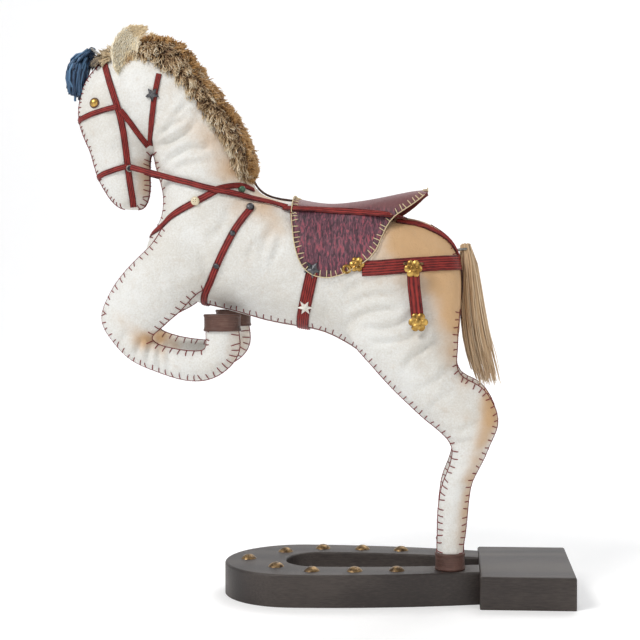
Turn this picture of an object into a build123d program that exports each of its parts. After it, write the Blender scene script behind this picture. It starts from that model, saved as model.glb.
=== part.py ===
from build123d import *
import math
import os

# A hand-stitched stuffed leather horse rearing on a horseshoe-shaped stand.
# Frame: +Z up, the horse faces -X, its near (left) side is -Y.  Millimetres.
# The origin lies under the middle of the bounding box, on the ground.

# ---- overall sizes --------------------------------------------------------
LENGTH = 355.0          # forelock tassel to the back of the heel block
WIDTH = 104.0           # widest part of the horseshoe
HEIGHT = 395.0          # ground to ear tips

# ---- stand ----------------------------------------------------------------
BOARD_T = 22.0          # horseshoe and block thickness
BLOCK_L = 64.0          # heel block, along X
BLOCK_W = 102.0         # heel block, along Y
TOE_WEB = 43.0          # wood ahead of the slot
SIDE_WEB = 28.0         # wood beside the slot at the widest place
HEEL_HALF = 36.35       # half width of the shoe where it meets the block
HEEL_SLOT_HALF = 11.0   # half width of the slot where it meets the block
SHOE_L = 178.5          # toe to heel
EDGE_R = 1.6            # rounding of the wooden edges
TACK_D = 11.0           # upholstery tack heads
TACK_H = 3.0
TACK_PIN_D = 2.0
TACK_PIN_L = 11.0
DOWEL_D = 8.0           # heel dowels
DOWEL_L = 30.0
SCREW_D = 3.5           # screws up into the hind hooves
SCREW_HEAD_D = 7.0
SCREW_HEAD_H = 3.0
SCREW_L = 28.0

# ---- leather and thread ---------------------------------------------------
SKIN_T = 1.4            # leather of the figure
GUSSET_T = 0.8          # thinner leather of the belly gusset
EASE = 0.15             # gap between a skin and what fills it
LIMB_GAP = 0.5          # gap between the body and what is sewn to it
CUFF_GAP = 0.5
GUSSET_DEG = 16.0       # half angle of the belly gusset round the section
WIRE_D = 4.0            # armature wire in the hind legs
WIRE_EASE = 0.1
CUFF_H = 11.6           # hoof cuffs
CUFF_T = 1.3
SOLE_T = 2.0

# ---- harness --------------------------------------------------------------
STRAP_T = 1.3
STRAP_GAP = 0.45        # lowest clearance of a strap over the skin
HEAD_STRAP_W = 4.2
REIN_W = 4.4
COLLAR_W = 5.0
GIRTH_W = 8.4
BREECH_W = 11.0
PENDANT_W = 9.0
PENDANT_L = 41.0
STUD_D = 8.0
STUD_T = 1.6
STAR_D = 9.6
FLOWER_D = 12.0
FLOWER_T = 2.2
SADDLE_T = 1.8
SADDLE_GAP = 0.5

# ---- hinged pieces --------------------------------------------------------
PIN_D = 1.8             # wire staples that the hinged pieces hang on
PIN_GAP = 0.15          # radial running clearance
KNUCKLE_D = 4.6
STAPLE_SIDE_GAP = 0.5
TAIL_KNUCKLE_W = 6.0
TASSEL_KNUCKLE_W = 5.0
STAPLE_LEG_L = 9.0

# The figure is drawn at its nominal size and stretched to the overall sizes.
KX = LENGTH / 355.0
KY = WIDTH / 104.0
KZ = (HEIGHT - BOARD_T) / 373.0
BLOCK_X1 = LENGTH / 2
BLOCK_X0 = BLOCK_X1 - BLOCK_L
TOE_X = BLOCK_X0 - SHOE_L
HOOF_X = 93.5 * KX      # hind hooves on the webs
HOOF_Y = 27.0 * KY


def fx(x):
    return x * KX


def fy(y):
    return y * KY


def fz(z):
    return BOARD_T + (z - 22.0) * KZ


UP = Vector(0, 0, 1)
SIDE = Vector(0, 1, 0)
NEAR, FAR = -1, 1

# Stations of the body: crest point, throat or belly point, half width.  They
# fan round the throat, so the head, neck and trunk are one smooth form.
FAN = range(5, 13)
BODY = [
    ((-137, 268.8), (-127, 268.5), 5), ((-143, 272), (-122.5, 270.5), 10),
    ((-150, 281), (-119, 280), 14), ((-157, 296), (-118.8, 294), 16),
    ((-161, 310), (-118.5, 303), 17.5), ((-167.5, 326), (-118, 307.5), 19),
    ((-168.5, 343), (-117, 309.5), 20), ((-163, 360), (-116.3, 310.3), 19.5),
    ((-150, 374), (-115.8, 310.6), 19), ((-134, 382), (-115.4, 310.6), 19),
    ((-115, 382), (-115.1, 310.2), 20), ((-99, 375), (-114.9, 309), 20.5),
    ((-86, 366), (-114.8, 307), 21), ((-73, 352), (-114.5, 302.5), 22),
    ((-61, 333), (-112.5, 294), 23.5), ((-53, 312), (-109.5, 284), 25),
    ((-47.5, 292), (-108.3, 272), 27), ((-41, 281), (-112, 258), 29),
    ((-29, 275.5), (-121, 240), 31), ((-12, 273), (-112, 218), 32),
    ((5, 269), (-90, 205), 33), ((22, 266), (-60, 197), 33),
    ((40, 264), (-25, 188), 33), ((57, 263), (8, 181), 33.5),
    ((72, 260.5), (38, 163), 35), ((85, 254.5), (62, 150), 35),
    ((95, 245), (80, 150), 33), ((100, 230), (95, 165), 28),
    ((101, 215), (100, 185), 15)]

# Stations of the legs: outer point, inner point, half width, middle Y.
FORELEG = [
    ((-104, 250), (-70, 236), 12, 17), ((-113, 241), (-75, 221), 13, 20.5),
    ((-124, 232), (-84, 209), 13.5, 22), ((-136, 218.5), (-92, 199), 13, 22),
    ((-144, 205), (-99, 192), 12.5, 22), ((-147.5, 191), (-107, 185), 12, 22),
    ((-141, 178), (-112, 180.5), 11.5, 22),
    ((-128, 164.5), (-112.5, 177.5), 11, 22),
    ((-111.5, 156.5), (-107, 174), 10.5, 22),
    ((-93, 150.5), (-92, 170.5), 10, 22), ((-74, 150), (-79, 169.8), 10, 22),
    ((-60, 157.5), (-75.5, 171), 10, 22),
    ((-51.5, 170), (-74.7, 175), 10.5, 22),
    ((-52, 183.4), (-74.7, 183.4), 10.5, 22)]
FORE_END = 195.2        # height of the folded forefeet's soles
HINDLEG = [
    ((20, 215), (88, 232), 15, 18), ((22, 190), (96, 212), 16, 19),
    ((27, 175), (98.5, 192), 16.5, 20), ((38, 162), (98.5, 172), 16, 21),
    ((52, 146.5), (98, 160), 15, 22), ((64, 135), (103, 152), 14, 23),
    ((76, 124), (114, 146), 13, 24), ((86, 116), (122.5, 135), 12, 25),
    ((92, 110), (126, 122.5), 11, 26), ((95, 101.5), (121.5, 109), 10, 26.5),
    ((91.6, 88.4), (115.5, 95.5), 9.5, 27), ((88, 79), (108.8, 82), 9, 27),
    ((85.5, 64), (106, 67), 8.8, 27), ((84.8, 46), (104, 47), 8.8, 27),
    ((84.6, 34.6), (102.4, 34.6), 8.8, 27)]
MANE = [
    ((-138, 385), (-131, 372), 10), ((-120, 390), (-119, 367), 15),
    ((-101, 389), (-108, 358), 18), ((-86.5, 375), (-97, 351), 19),
    ((-74, 359), (-87, 339), 20), ((-64, 345), (-78, 329), 21),
    ((-54, 331), (-69, 317), 22), ((-45.5, 316), (-62, 306), 21),
    ((-43, 302), (-60, 296), 18), ((-46, 288), (-55, 286), 12)]
TAIL = [
    ((108.5, 238), (102.5, 236.5), 4.5), ((113, 232), (103.5, 229), 7),
    ((114, 216), (103.5, 212), 8.5), ((116.5, 200), (105.5, 198), 9.5),
    ((120, 185), (105.5, 183), 10), ((122.5, 170), (104, 168), 9.5),
    ((125.5, 157), (104, 153), 7), ((127.5, 147), (113, 143), 4)]
TASSEL = [
    ((-161.5, 378), (-157.5, 378.5), 2.6), ((-164.5, 373), (-158.5, 374), 4.5),
    ((-170, 364), (-161, 367), 6.5), ((-175.5, 355), (-165, 358), 8),
    ((-177.3, 347), (-167, 348), 7.5)]


def section_arc(sec, side, a0, a1):
    """Part of one elliptical section, from angle a0 to a1 on one side."""
    top, bottom, half_w, mid_y, grow, grow_b = sec
    t = Vector(fx(top[0]), mid_y, fz(top[1]))
    b = Vector(fx(bottom[0]), mid_y, fz(bottom[1]))
    v = (t - b).normalized()
    t, b = t + v * grow, b - v * (grow * grow_b)
    mid, tall = (t + b) / 2, v * ((t - b).length / 2)
    wide = SIDE * (side * (half_w + grow))
    a0, a1 = math.radians(a0), math.radians(a1)
    reach = 4 / 3 * math.tan((a1 - a0) / 4)

    def at(a):
        return mid + tall * math.sin(a) + wide * math.cos(a)

    def along(a):
        return (tall * math.cos(a) - wide * math.sin(a)) * reach

    return Edge.make_bezier(at(a0), at(a0) + along(a0),
                            at(a1) - along(a1), at(a1))


def ring(sec):
    return Wire([section_arc(sec, 1, -90, 0), section_arc(sec, 1, 0, 90),
                 section_arc(sec, -1, 90, 0), section_arc(sec, -1, 0, -90)])


def body_sections(grow):
    return [(a, b, fy(w), 0.0, grow, 0.0 if i in FAN and grow > 0 else 1.0)
            for i, (a, b, w) in enumerate(BODY)]


def leg_sections(rows, side, grow):
    return [(a, b, fy(w), side * fy(y), grow, 1.0) for a, b, w, y in rows]


def whole(sections):
    return Solid.make_loft([ring(s) for s in sections])


def shell_panel(outer, inner, spans):
    """Leather between two lists of sections, over the given arcs."""
    wires = []
    for o, i in zip(outer, inner):
        there = [section_arc(o, s, a, b) for s, a, b in spans]
        back = [section_arc(i, s, b, a) for s, a, b in reversed(spans)]
        wires.append(Wire(there + [Line(there[-1] @ 1, back[0] @ 0)] + back
                          + [Line(back[-1] @ 1, there[0] @ 0)]))
    return Solid.make_loft(wires)


parts = {}

# ---- the stand ------------------------------------------------------------
toe_r = WIDTH / 2
slot_r = toe_r - SIDE_WEB
toe_c = TOE_X + toe_r
slot_c = TOE_X + TOE_WEB + slot_r


def heel_arc(x0, half0, half1, side):
    return TangentArc([(x0, side * half0), (BLOCK_X0, side * half1)],
                      tangent=(1, 0))


def heel_radius(x0, half0, half1):
    dx, dy = BLOCK_X0 - x0, half0 - half1
    return (dx * dx + dy * dy) / (2 * dy)


def web_middle(x):
    """Half way across the wood beside the slot."""
    ro = heel_radius(toe_c, toe_r, HEEL_HALF)
    ri = heel_radius(slot_c, slot_r, HEEL_SLOT_HALF)
    if x < toe_c:
        outer = math.sqrt(toe_r ** 2 - (x - toe_c) ** 2)
    else:
        outer = toe_r - ro + math.sqrt(ro ** 2 - (x - toe_c) ** 2)
    if x < slot_c:
        inner = math.sqrt(max(slot_r ** 2 - (x - slot_c) ** 2, 0.0))
    else:
        inner = slot_r - ri + math.sqrt(ri ** 2 - (x - slot_c) ** 2)
    return (outer + inner) / 2


outline = Wire([
    ThreePointArc((toe_c, -toe_r), (TOE_X, 0), (toe_c, toe_r)),
    heel_arc(toe_c, toe_r, HEEL_HALF, 1),
    Line((BLOCK_X0, HEEL_HALF), (BLOCK_X0, HEEL_SLOT_HALF)),
    heel_arc(slot_c, slot_r, HEEL_SLOT_HALF, 1),
    ThreePointArc((slot_c, slot_r), (TOE_X + TOE_WEB, 0), (slot_c, -slot_r)),
    heel_arc(slot_c, slot_r, HEEL_SLOT_HALF, -1),
    Line((BLOCK_X0, -HEEL_SLOT_HALF), (BLOCK_X0, -HEEL_HALF)),
    heel_arc(toe_c, toe_r, HEEL_HALF, -1)])
board = Solid.extrude(Face(outline), (0, 0, BOARD_T))
top_edges = [e for e in board.edges()
             if abs(e.center().Z - BOARD_T) < 0.01
             and e.center().X < BLOCK_X0 - 0.1]
board = board.fillet(EDGE_R, top_edges)

block = Pos((BLOCK_X0 + BLOCK_X1) / 2, 0, BOARD_T / 2) * Box(
    BLOCK_L, BLOCK_W, BOARD_T)
block = fillet(block.edges().filter_by(Axis.Z)
               + block.edges().group_by(Axis.Z)[-1], EDGE_R)

dowel_y = (HEEL_HALF + HEEL_SLOT_HALF) / 2
dowels = [Pos(BLOCK_X0, s * dowel_y, BOARD_T / 2) * Rot(0, 90, 0)
          * Cylinder(DOWEL_D / 2, DOWEL_L) for s in (NEAR, FAR)]
tack_xs = [TOE_X + 39.0, TOE_X + 65.0, TOE_X + 94.0, TOE_X + 122.5]
tack_at = [(TOE_X + 16.0, 0.0)]
for s in (NEAR, FAR):
    tack_at += [(x, s * web_middle(x)) for x in tack_xs]


def tack(x, y):
    r = (TACK_D ** 2 / 4 + TACK_H ** 2) / (2 * TACK_H)
    dome = Pos(0, 0, TACK_H - r) * Sphere(r) & Pos(
        0, 0, TACK_H / 2) * Cylinder(TACK_D / 2 + 1, TACK_H)
    pin = Pos(0, 0, -TACK_PIN_L / 2) * Cylinder(TACK_PIN_D / 2, TACK_PIN_L)
    return Pos(x, y, BOARD_T) * (dome + pin)


tacks = [tack(x, y) for x, y in tack_at]
tack_holes = [Pos(x, y, BOARD_T - TACK_PIN_L / 2) * Cylinder(
    TACK_PIN_D / 2, TACK_PIN_L) for x, y in tack_at]


def screw(x, y):
    head = Pos(x, y, SCREW_HEAD_H / 2) * Cone(
        SCREW_HEAD_D / 2, SCREW_D / 2, SCREW_HEAD_H)
    shank = Pos(x, y, (SCREW_HEAD_H + SCREW_L) / 2) * Cylinder(
        SCREW_D / 2, SCREW_L - SCREW_HEAD_H)
    return head + shank


screws = [screw(HOOF_X, s * HOOF_Y) for s in (NEAR, FAR)]
board = board - Compound(children=[Part() + d for d in dowels])
board = board - Compound(children=[Part() + h for h in tack_holes])
board = board - Compound(children=[Part() + s for s in screws])
block = block - Compound(children=[Part() + d for d in dowels])
parts["horseshoe_board"] = board
parts["heel_block"] = block
parts["heel_dowels"] = Compound(children=[Part() + d for d in dowels])
parts["dome_tacks"] = Compound(children=[Part() + t for t in tacks])
parts["hoof_screws"] = Compound(children=[Part() + s for s in screws])

def biggest(shape):
    """The main solid of a cut, without the crumbs."""
    return Part() + max(shape.solids(), key=lambda q: q.volume)


# ---- the stuffed body -----------------------------------------------------
outer_secs = body_sections(0.0)
inner_secs = body_sections(-SKIN_T)
edge_deg = -90 + GUSSET_DEG
for name, s in (("near", NEAR), ("far", FAR)):
    parts["body_skin_" + name] = shell_panel(
        outer_secs, inner_secs, [(s, edge_deg + 0.3, 0), (s, 0, 90)])
parts["belly_gusset"] = shell_panel(
    outer_secs, body_sections(-GUSSET_T), [(-1, edge_deg, -90), (1, -90, edge_deg)])
body_outer = whole(outer_secs)
body_clear = whole(body_sections(LIMB_GAP))
stuffing = whole(body_sections(-SKIN_T - EASE))
parts["belly_gusset"] = biggest(parts["belly_gusset"] - stuffing)
side_faces = {NEAR: [], FAR: []}
for f in body_outer.faces():
    y = f.position_at(0.5, 0.5).Y
    if abs(y) > 5:
        side_faces[NEAR if y < 0 else FAR].append(f)


def cast(origin, direction, side):
    """The nearest place on one flank that a ray meets, and its normal."""
    d, start = Vector(*direction), Vector(*origin)
    hits = [h for f in side_faces[side]
            for h in f.find_intersection_points(Axis(start, d))]
    p, n = min(hits, key=lambda h: (h[0] - start).dot(d))
    return p, (n if n.dot(d) < 0 else n * -1)


def flank(x, z, side=NEAR):
    """The skin at a place seen from the side."""
    return cast((fx(x), side * 90.0, fz(z)), (0, -side, 0), side)


def rim(x, z, direction, side=NEAR):
    """The skin beside the middle line, met along an XZ direction."""
    d = Vector(direction[0], 0, direction[1]).normalized()
    start = Vector(fx(x), side * 0.02, fz(z)) - d * 150
    return cast((start.X, start.Y, start.Z), (d.X, d.Y, d.Z), side)


def bunch(*shapes):
    """Several separate solids of one kind."""
    return Compound(children=[Part() + s for s in shapes])


def mirror_side(shape):
    solids = [Part() + s.mirror(Plane.XZ) for s in shape.solids()]
    return solids[0] if len(solids) == 1 else bunch(*solids)


def rod(points, r):
    """A bent wire: straight runs with rounded corners."""
    pts = [Vector(*p) for p in points]
    out = None
    for p, q in zip(pts, pts[1:]):
        run = Solid.make_cylinder(r, (q - p).length, Plane(p, z_dir=q - p))
        out = Part() + run if out is None else out + run
    for p in pts[1:-1]:
        out = out + Pos(p.X, p.Y, p.Z) * Sphere(r)
    return out


# ---- straps, as paths over the skin ---------------------------------------


def strap(path, width, t=STRAP_T):
    """A flat strap through places on the skin: (point, normal, lift)."""
    wires = []
    for i, (p, n, lift) in enumerate(path):
        ahead = path[min(i + 1, len(path) - 1)][0]
        behind = path[max(i - 1, 0)][0]
        run = (ahead - behind).normalized()
        across = n.cross(run).normalized() * (width / 2)
        up = across.cross(run).normalized()
        up = up if up.dot(n) > 0 else up * -1
        lo, hi = p + up * (STRAP_GAP + lift), p + up * (STRAP_GAP + lift + t)
        wires.append(Wire.make_polygon(
            [lo - across, lo + across, hi + across, hi - across], close=True))
    return Solid.make_loft(wires)


def on(points, lift=0.0):
    """Near-flank path from side-view places."""
    out = []
    for row in points:
        p, n = flank(row[0], row[1])
        out.append((p, n, row[2] if len(row) > 2 else lift))
    return out


def wrap(near, middle):
    """A path over both flanks through a point on the middle line."""
    far = [(Vector(p.X, -p.Y, p.Z), Vector(n.X, -n.Y, n.Z), h)
           for p, n, h in reversed(near)]
    p, n = middle
    n = Vector(n.X, 0, n.Z).normalized()
    return near + [(Vector(p.X, 0, p.Z), n, 0.0)] + far


collar = wrap(on([(-77, 276), (-84.5, 271), (-92.5, 266.3), (-101, 261),
                  (-107.5, 255.5)]), rim(-200, 251, (1, 0)))
collar_room = strap([(p, n, h - STRAP_GAP) for p, n, h in collar],
                    COLLAR_W + 0.8, STRAP_GAP + STRAP_T + 0.4)

# ---- armature wires and legs ----------------------------------------------
wire_path = [(94.3, 27, 32), (96, 27, 64), (106, 26, 104), (104, 25, 123),
             (84, 23, 142), (64, 20, 178)]


def wire(side, r):
    return rod([(fx(x), side * fy(y), fz(z)) for x, y, z in wire_path], r)


def leg(rows, name, end_z, is_hind):
    """Skin halves and stuffing of one near leg, and their mirror."""
    last = rows[-1]
    rows = rows + [((last[0][0], end_z), (last[1][0], end_z)) + last[2:]]
    outer = leg_sections(rows, NEAR, 0.0)
    inner = leg_sections(rows, NEAR, -SKIN_T)
    halves = [shell_panel(outer, inner, [(s, -90, 0), (s, 0, 90)])
              for s in (NEAR, FAR)]
    fill = whole(leg_sections(rows, NEAR, -SKIN_T - EASE)) - body_clear
    if is_hind:
        fill = fill - wire(NEAR, WIRE_D / 2 + WIRE_EASE) - screws[0]
        halves = [h - parts["belly_gusset"] for h in halves]
    else:
        fill = fill - collar_room
        halves = [h - collar_room for h in halves]
    halves = [biggest(h - body_clear - fill) for h in halves]
    parts[name + "_skin_near"] = bunch(*halves)
    parts[name + "_stuffing_near"] = biggest(fill)
    for kind in ("_skin", "_stuffing"):
        parts[name + kind + "_far"] = mirror_side(parts[name + kind + "_near"])


sole_gap = (SOLE_T + EASE) / KZ
leg(FORELEG, "foreleg", FORE_END - sole_gap, False)
leg(HINDLEG, "hindleg", 22 + sole_gap, True)
parts["leg_wires"] = bunch(wire(NEAR, WIRE_D / 2), wire(FAR, WIRE_D / 2))


def foot(rows, cuff_z, sole_z):
    """The leather cuff and the sole of one near foot."""
    top, bottom, w, y = rows[-1]
    x = fx((top[0] + bottom[0]) / 2)
    a, b = abs(fx(top[0] - bottom[0])) / 2, fy(w)

    def disc(extra, lo, tall):
        edge = Edge.make_ellipse(a + extra, b + extra,
                                 Plane(origin=(x, -fy(y), lo)))
        return Solid.extrude(Face(Wire([edge])), (0, 0, tall))
    cuff = disc(CUFF_GAP + CUFF_T, cuff_z, CUFF_H) - disc(
        CUFF_GAP, cuff_z, CUFF_H)
    return cuff, disc(-EASE, sole_z, SOLE_T)


fore_z = fz(FORE_END)
fore_cuff, fore_sole = foot(FORELEG, fore_z - CUFF_H, fore_z - SOLE_T)
hind_cuff, hind_sole = foot(HINDLEG, BOARD_T, BOARD_T)
hind_sole = hind_sole - screws[0]
parts["fore_cuff_near"], parts["hind_cuff_near"] = fore_cuff, hind_cuff
parts["fore_cuff_far"] = mirror_side(fore_cuff)
parts["hind_cuff_far"] = mirror_side(hind_cuff)
parts["hoof_soles"] = bunch(fore_sole, hind_sole, mirror_side(fore_sole),
                            mirror_side(hind_sole))

# ---- ears, eyes and hair --------------------------------------------------
EAR_ROWS = [(-129, 362, 4.5, 2.6, -12.5), (-129, 374, 6, 2.8, -13),
            (-129.5, 386, 4.2, 2.0, -12.5), (-130.5, 395, 0.9, 0.7, -12)]


def ear(extra):
    return Solid.make_loft([Wire([Edge.make_ellipse(
        fx(a) + extra, fy(b) + extra,
        Plane(origin=(fx(x), fy(y), fz(z))))]) for x, z, a, b, y in EAR_ROWS])


mane = whole([(a, b, fy(w), 0.0, 0.0, 1.0) for a, b, w in MANE])
parts["mane_fur"] = mane - body_clear - ear(0.3) - mirror_side(ear(0.3))
parts["ear_near"] = ear(0.0) - body_clear
parts["ear_far"] = mirror_side(parts["ear_near"])
eye_p, eye_n = flank(-151.6, 342)
eye = Pos(*(eye_p - eye_n * 1.3)) * Sphere(3.4) - body_clear
parts["bead_eyes"] = bunch(eye, mirror_side(eye))


# ---- hinged pieces on wire staples ----------------------------------------
def staple(c, axis, width, leg_dir, leg_l, r=PIN_D / 2):
    """A wire pin across a knuckle, with two legs into the figure."""
    half = axis * (width / 2 + STAPLE_SIDE_GAP + PIN_D / 2)
    down = leg_dir.normalized() * leg_l
    return rod([c + half + down, c + half, c - half, c - half + down], r)


def knuckle(c, axis, width, solid=False):
    plane = Plane(c - axis * (width / 2), z_dir=axis)
    tube = Solid.make_cylinder(KNUCKLE_D / 2, width, plane)
    if solid:
        return tube
    return tube - bore(c, axis, width)


def bore(c, axis, width):
    plane = Plane(c - axis * width, z_dir=axis)
    return Solid.make_cylinder(PIN_D / 2 + PIN_GAP, width * 2, plane)


body_wide = whole(body_sections(0.7))
tail_c = Vector(fx(104.5), 0, fz(240.5))
tassel_c = Vector(fx(-159.0), 0, fz(381.5))
pendant_x, pendant_z = 68.8, 229.5
spots = [flank(pendant_x + dx, z) for dx in (-4, 4)
         for z in (pendant_z, 215, 200, 188)]
pendant_y = -max(abs(p.Y) for p, _ in spots) - STRAP_GAP - STRAP_T - 3.2
pendant_c = Vector(fx(pendant_x), pendant_y, fz(pendant_z))

tail_staple = staple(tail_c, SIDE, TAIL_KNUCKLE_W, Vector(-1, 0, -0.1),
                     STAPLE_LEG_L)
tassel_staple = staple(tassel_c, SIDE, TASSEL_KNUCKLE_W,
                       Vector(0.8, 0, -0.6), STAPLE_LEG_L + 6)
leg_in = abs(pendant_y) - abs(flank(pendant_x, pendant_z)[0].Y) + 4
pendant_staple = staple(pendant_c, Vector(1, 0, 0), PENDANT_W, SIDE, leg_in)
parts["tail_staple"] = tail_staple
parts["forelock_staple"] = tassel_staple
parts["pendant_staples"] = bunch(pendant_staple, mirror_side(pendant_staple))
all_staples = bunch(tail_staple, tassel_staple, pendant_staple,
                    mirror_side(pendant_staple))

tail = whole([(a, b, fy(w), 0.0, 0.0, 1.0) for a, b, w in TAIL])
tail = tail - body_wide
tail_clear = Solid.make_cylinder(
    KNUCKLE_D / 2 + 0.05, TAIL_KNUCKLE_W * 3,
    Plane(tail_c - SIDE * TAIL_KNUCKLE_W * 1.5, z_dir=SIDE))
binding = knuckle(tail_c, SIDE, TAIL_KNUCKLE_W)
parts["tail_hair"] = tail - tail_clear
parts["tail_binding"] = binding
tassel = whole([(a, b, fy(w), 0.0, 0.0, 1.0) for a, b, w in TASSEL])
tassel_knob = knuckle(tassel_c, SIDE, TASSEL_KNUCKLE_W, solid=True)
tassel = (tassel - body_wide) + tassel_knob
parts["forelock_tassel"] = tassel - bore(tassel_c, SIDE, TASSEL_KNUCKLE_W)
tuft = Pos(fx(-149), 0, fz(375)) * Sphere(8.0)
parts["forelock_fur"] = tuft - body_clear - tassel_staple

pendant_t = 1.6
blade = Pos(pendant_c.X, pendant_c.Y, pendant_c.Z - PENDANT_L / 2) * Box(
    PENDANT_W, pendant_t, PENDANT_L)
blade = blade + knuckle(pendant_c, Vector(1, 0, 0), PENDANT_W, solid=True)
blade = blade - bore(pendant_c, Vector(1, 0, 0), PENDANT_W)
parts["pendant_near"] = blade
parts["pendant_far"] = mirror_side(blade)


def flower(plane):
    """Round petals about a domed middle, flat at the back."""
    petal_r = FLOWER_D * 0.19
    out = Part() + Cylinder(FLOWER_D * 0.26, FLOWER_T * 0.6,
                            align=(Align.CENTER, Align.CENTER, Align.MIN))
    for i in range(6):
        a = math.radians(60 * i)
        r = FLOWER_D / 2 - petal_r
        out = out + Pos(r * math.cos(a), r * math.sin(a), 0) * Cylinder(
            petal_r, FLOWER_T * 0.6,
            align=(Align.CENTER, Align.CENTER, Align.MIN))
    dome = Pos(0, 0, FLOWER_T * 0.3) * Sphere(FLOWER_T * 0.7)
    out = out + (dome & Pos(0, 0, FLOWER_T) * Box(9, 9, FLOWER_T * 2))
    return plane * out


def star(plane):
    pts = []
    for i in range(10):
        r = STAR_D / 2 if i % 2 == 0 else STAR_D * 0.24
        a = math.radians(90 + 36 * i)
        pts.append((r * math.cos(a), r * math.sin(a)))
    face = Face(Wire.make_polygon([Vector(*p, 0) for p in pts], close=True))
    return plane * (Part() + Solid.extrude(face, (0, 0, STUD_T)))


def button(plane, d=STUD_D):
    out = Part() + Cylinder(d / 2, STUD_T * 0.6,
                            align=(Align.CENTER, Align.CENTER, Align.MIN))
    r = d * 0.62
    cap = Pos(0, 0, STUD_T - r) * Sphere(r) & Pos(0, 0, STUD_T) * Cylinder(
        d / 2 * 0.8, STUD_T * 2)
    return plane * (out + cap)


def over(x, z, lift):
    """A plane that lies on the near flank, its normal outward."""
    p, n = flank(x, z)
    return Plane(origin=p + n * lift, x_dir=n.cross(UP), z_dir=n)


out_y = Vector(0, -1, 0)
flowers = [flower(Plane(
    origin=(pendant_c.X, pendant_c.Y - dy, pendant_c.Z + dz),
    x_dir=(1, 0, 0), z_dir=out_y))
    for dy, dz in ((KNUCKLE_D / 2, 0), (pendant_t / 2, -PENDANT_L + 6))]
parts["pendant_flowers_near"] = bunch(*flowers)
parts["pendant_flowers_far"] = mirror_side(parts["pendant_flowers_near"])

# ---- the harness ----------------------------------------------------------

def pair(shape):
    return bunch(shape, mirror_side(shape))


stack = STRAP_T + 0.25
cheek = strap(on([(-147, 368), (-143, 357), (-139.5, 347), (-136.2, 337.2),
                  (-133.5, 325), (-132, 312), (-130.7, 298), (-129.7, 285)]),
              HEAD_STRAP_W)
parts["cheek_strap_near"] = cheek
parts["cheek_strap_far"] = mirror_side(cheek)
parts["browband"] = strap(wrap(
    on([(-139.8, 338), (-146, 336.3), (-152, 334.6), (-158, 333),
        (-163, 331.7)]), rim(-200, 330.8, (1, 0))), HEAD_STRAP_W)
parts["noseband"] = strap(wrap(
    on([(-134, 297), (-139, 295.6), (-144.5, 294), (-150, 292.5)]),
    rim(-200, 291, (1, 0))), HEAD_STRAP_W)
jaw = strap(on([(-130.6, 330.8), (-127, 325.5), (-123.3, 320),
                (-119.8, 315)]), HEAD_STRAP_W)
parts["jaw_straps"] = pair(jaw)
throat = strap(on([(-108.6, 351), (-110.2, 342), (-111.8, 333),
                   (-113.3, 324)]), HEAD_STRAP_W)
parts["throat_straps"] = pair(throat)
top_lift = STRAP_GAP + STRAP_T
parts["bit_buttons"] = pair(button(over(-130.2, 292.5, top_lift + 0.2))
                            - cheek)

# The rein runs free from the muzzle to the neck.
rein_path = on([(-97, 287.8, 0.6), (-88, 285.8, 0.3), (-79, 283.5), (-70, 281),
                (-60, 278.6), (-49.7, 276), (-36, 272.3), (-19, 267.6)])
neck_p = rein_path[0][0]
start = Vector(fx(-124.6), flank(-128, 292)[0].Y - 2.2, fz(292.4))
mid_1 = start + (neck_p - start) * 0.35 + out_y * 1.6
mid_2 = start + (neck_p - start) * 0.7 + out_y * 1.6
out_n = Vector(0, -1, 0.1).normalized()
rein = strap([(start, out_n, 0.0), (mid_1, out_n, 0.0), (mid_2, out_n, 0.0)]
             + rein_path, REIN_W)
parts["rein_near"], parts["rein_far"] = rein, mirror_side(rein)
withers = strap(on([(-64, 284.6), (-57, 283.2), (-50, 281.2), (-43, 277.5)]),
                HEAD_STRAP_W)
parts["breast_collar"] = strap(collar, COLLAR_W)
chest = wrap(on([(-46.5, 265.5), (-50, 258.5), (-54.4, 250.5), (-60, 239.5),
                 (-65.5, 228), (-70, 218), (-74, 209.5)]),
             rim(-76, 0, (0, 1)))
parts["front_girth"] = strap(chest, COLLAR_W)
girth = wrap(on([(-3.4, 215.5), (-5, 207), (-7, 198), (-9, 190)]),
             rim(-10, 0, (0, 1)))
parts["girth"] = strap(girth, GIRTH_W)
breech = wrap(on([(46, 227.5), (53, 228), (60.5, 228.6), (68.8, 229.2),
                  (77, 229.8), (84, 230.2), (90.5, 230.5), (95.5, 230.7)]),
              rim(200, 230.7, (-1, 0)))
parts["breeching"] = strap(breech, BREECH_W) - all_staples
crupper = strap(on([(64, 257), (72, 254.5), (79.5, 250.5), (86.5, 245.3)]),
                REIN_W)
parts["crupper"] = pair(crupper)
parts["withers_straps"] = pair(biggest(
    withers - rein - parts["breast_collar"] - parts["front_girth"]))

stars = [star(over(-111, 338, top_lift)) - throat,
         star(over(-54.4, 250.5, top_lift)) - parts["front_girth"]]
parts["star_conchos"] = bunch(*stars, *[mirror_side(q) for q in stars])
buttons = [button(over(x, z, top_lift), 6.4) - under for x, z, under in (
    (-65.5, 228, parts["front_girth"]), (-6.5, 200, parts["girth"]),
    (-88.5, 268.6, parts["breast_collar"]))]
parts["harness_buttons"] = bunch(*buttons, *[mirror_side(q) for q in buttons])

# ---- saddle ---------------------------------------------------------------
SADDLE_TOP = [(-17, 277), (-5, 274.2), (10, 272.4), (25, 273.4), (40, 275.6),
              (55, 278.6), (68, 281), (78, 282)]
SADDLE_EDGE = [(-15, 292), (-15, 264), (-15, 256.5), (-11.6, 241),
               (-6.9, 228.5), (-0.1, 222.3), (10, 220.2), (19.4, 222),
               (25.5, 224.8), (34.9, 230.2), (43.7, 239.7), (48.4, 251.8),
               (56, 262.5), (66, 269.5), (77.5, 279), (77.5, 292)]


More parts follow.
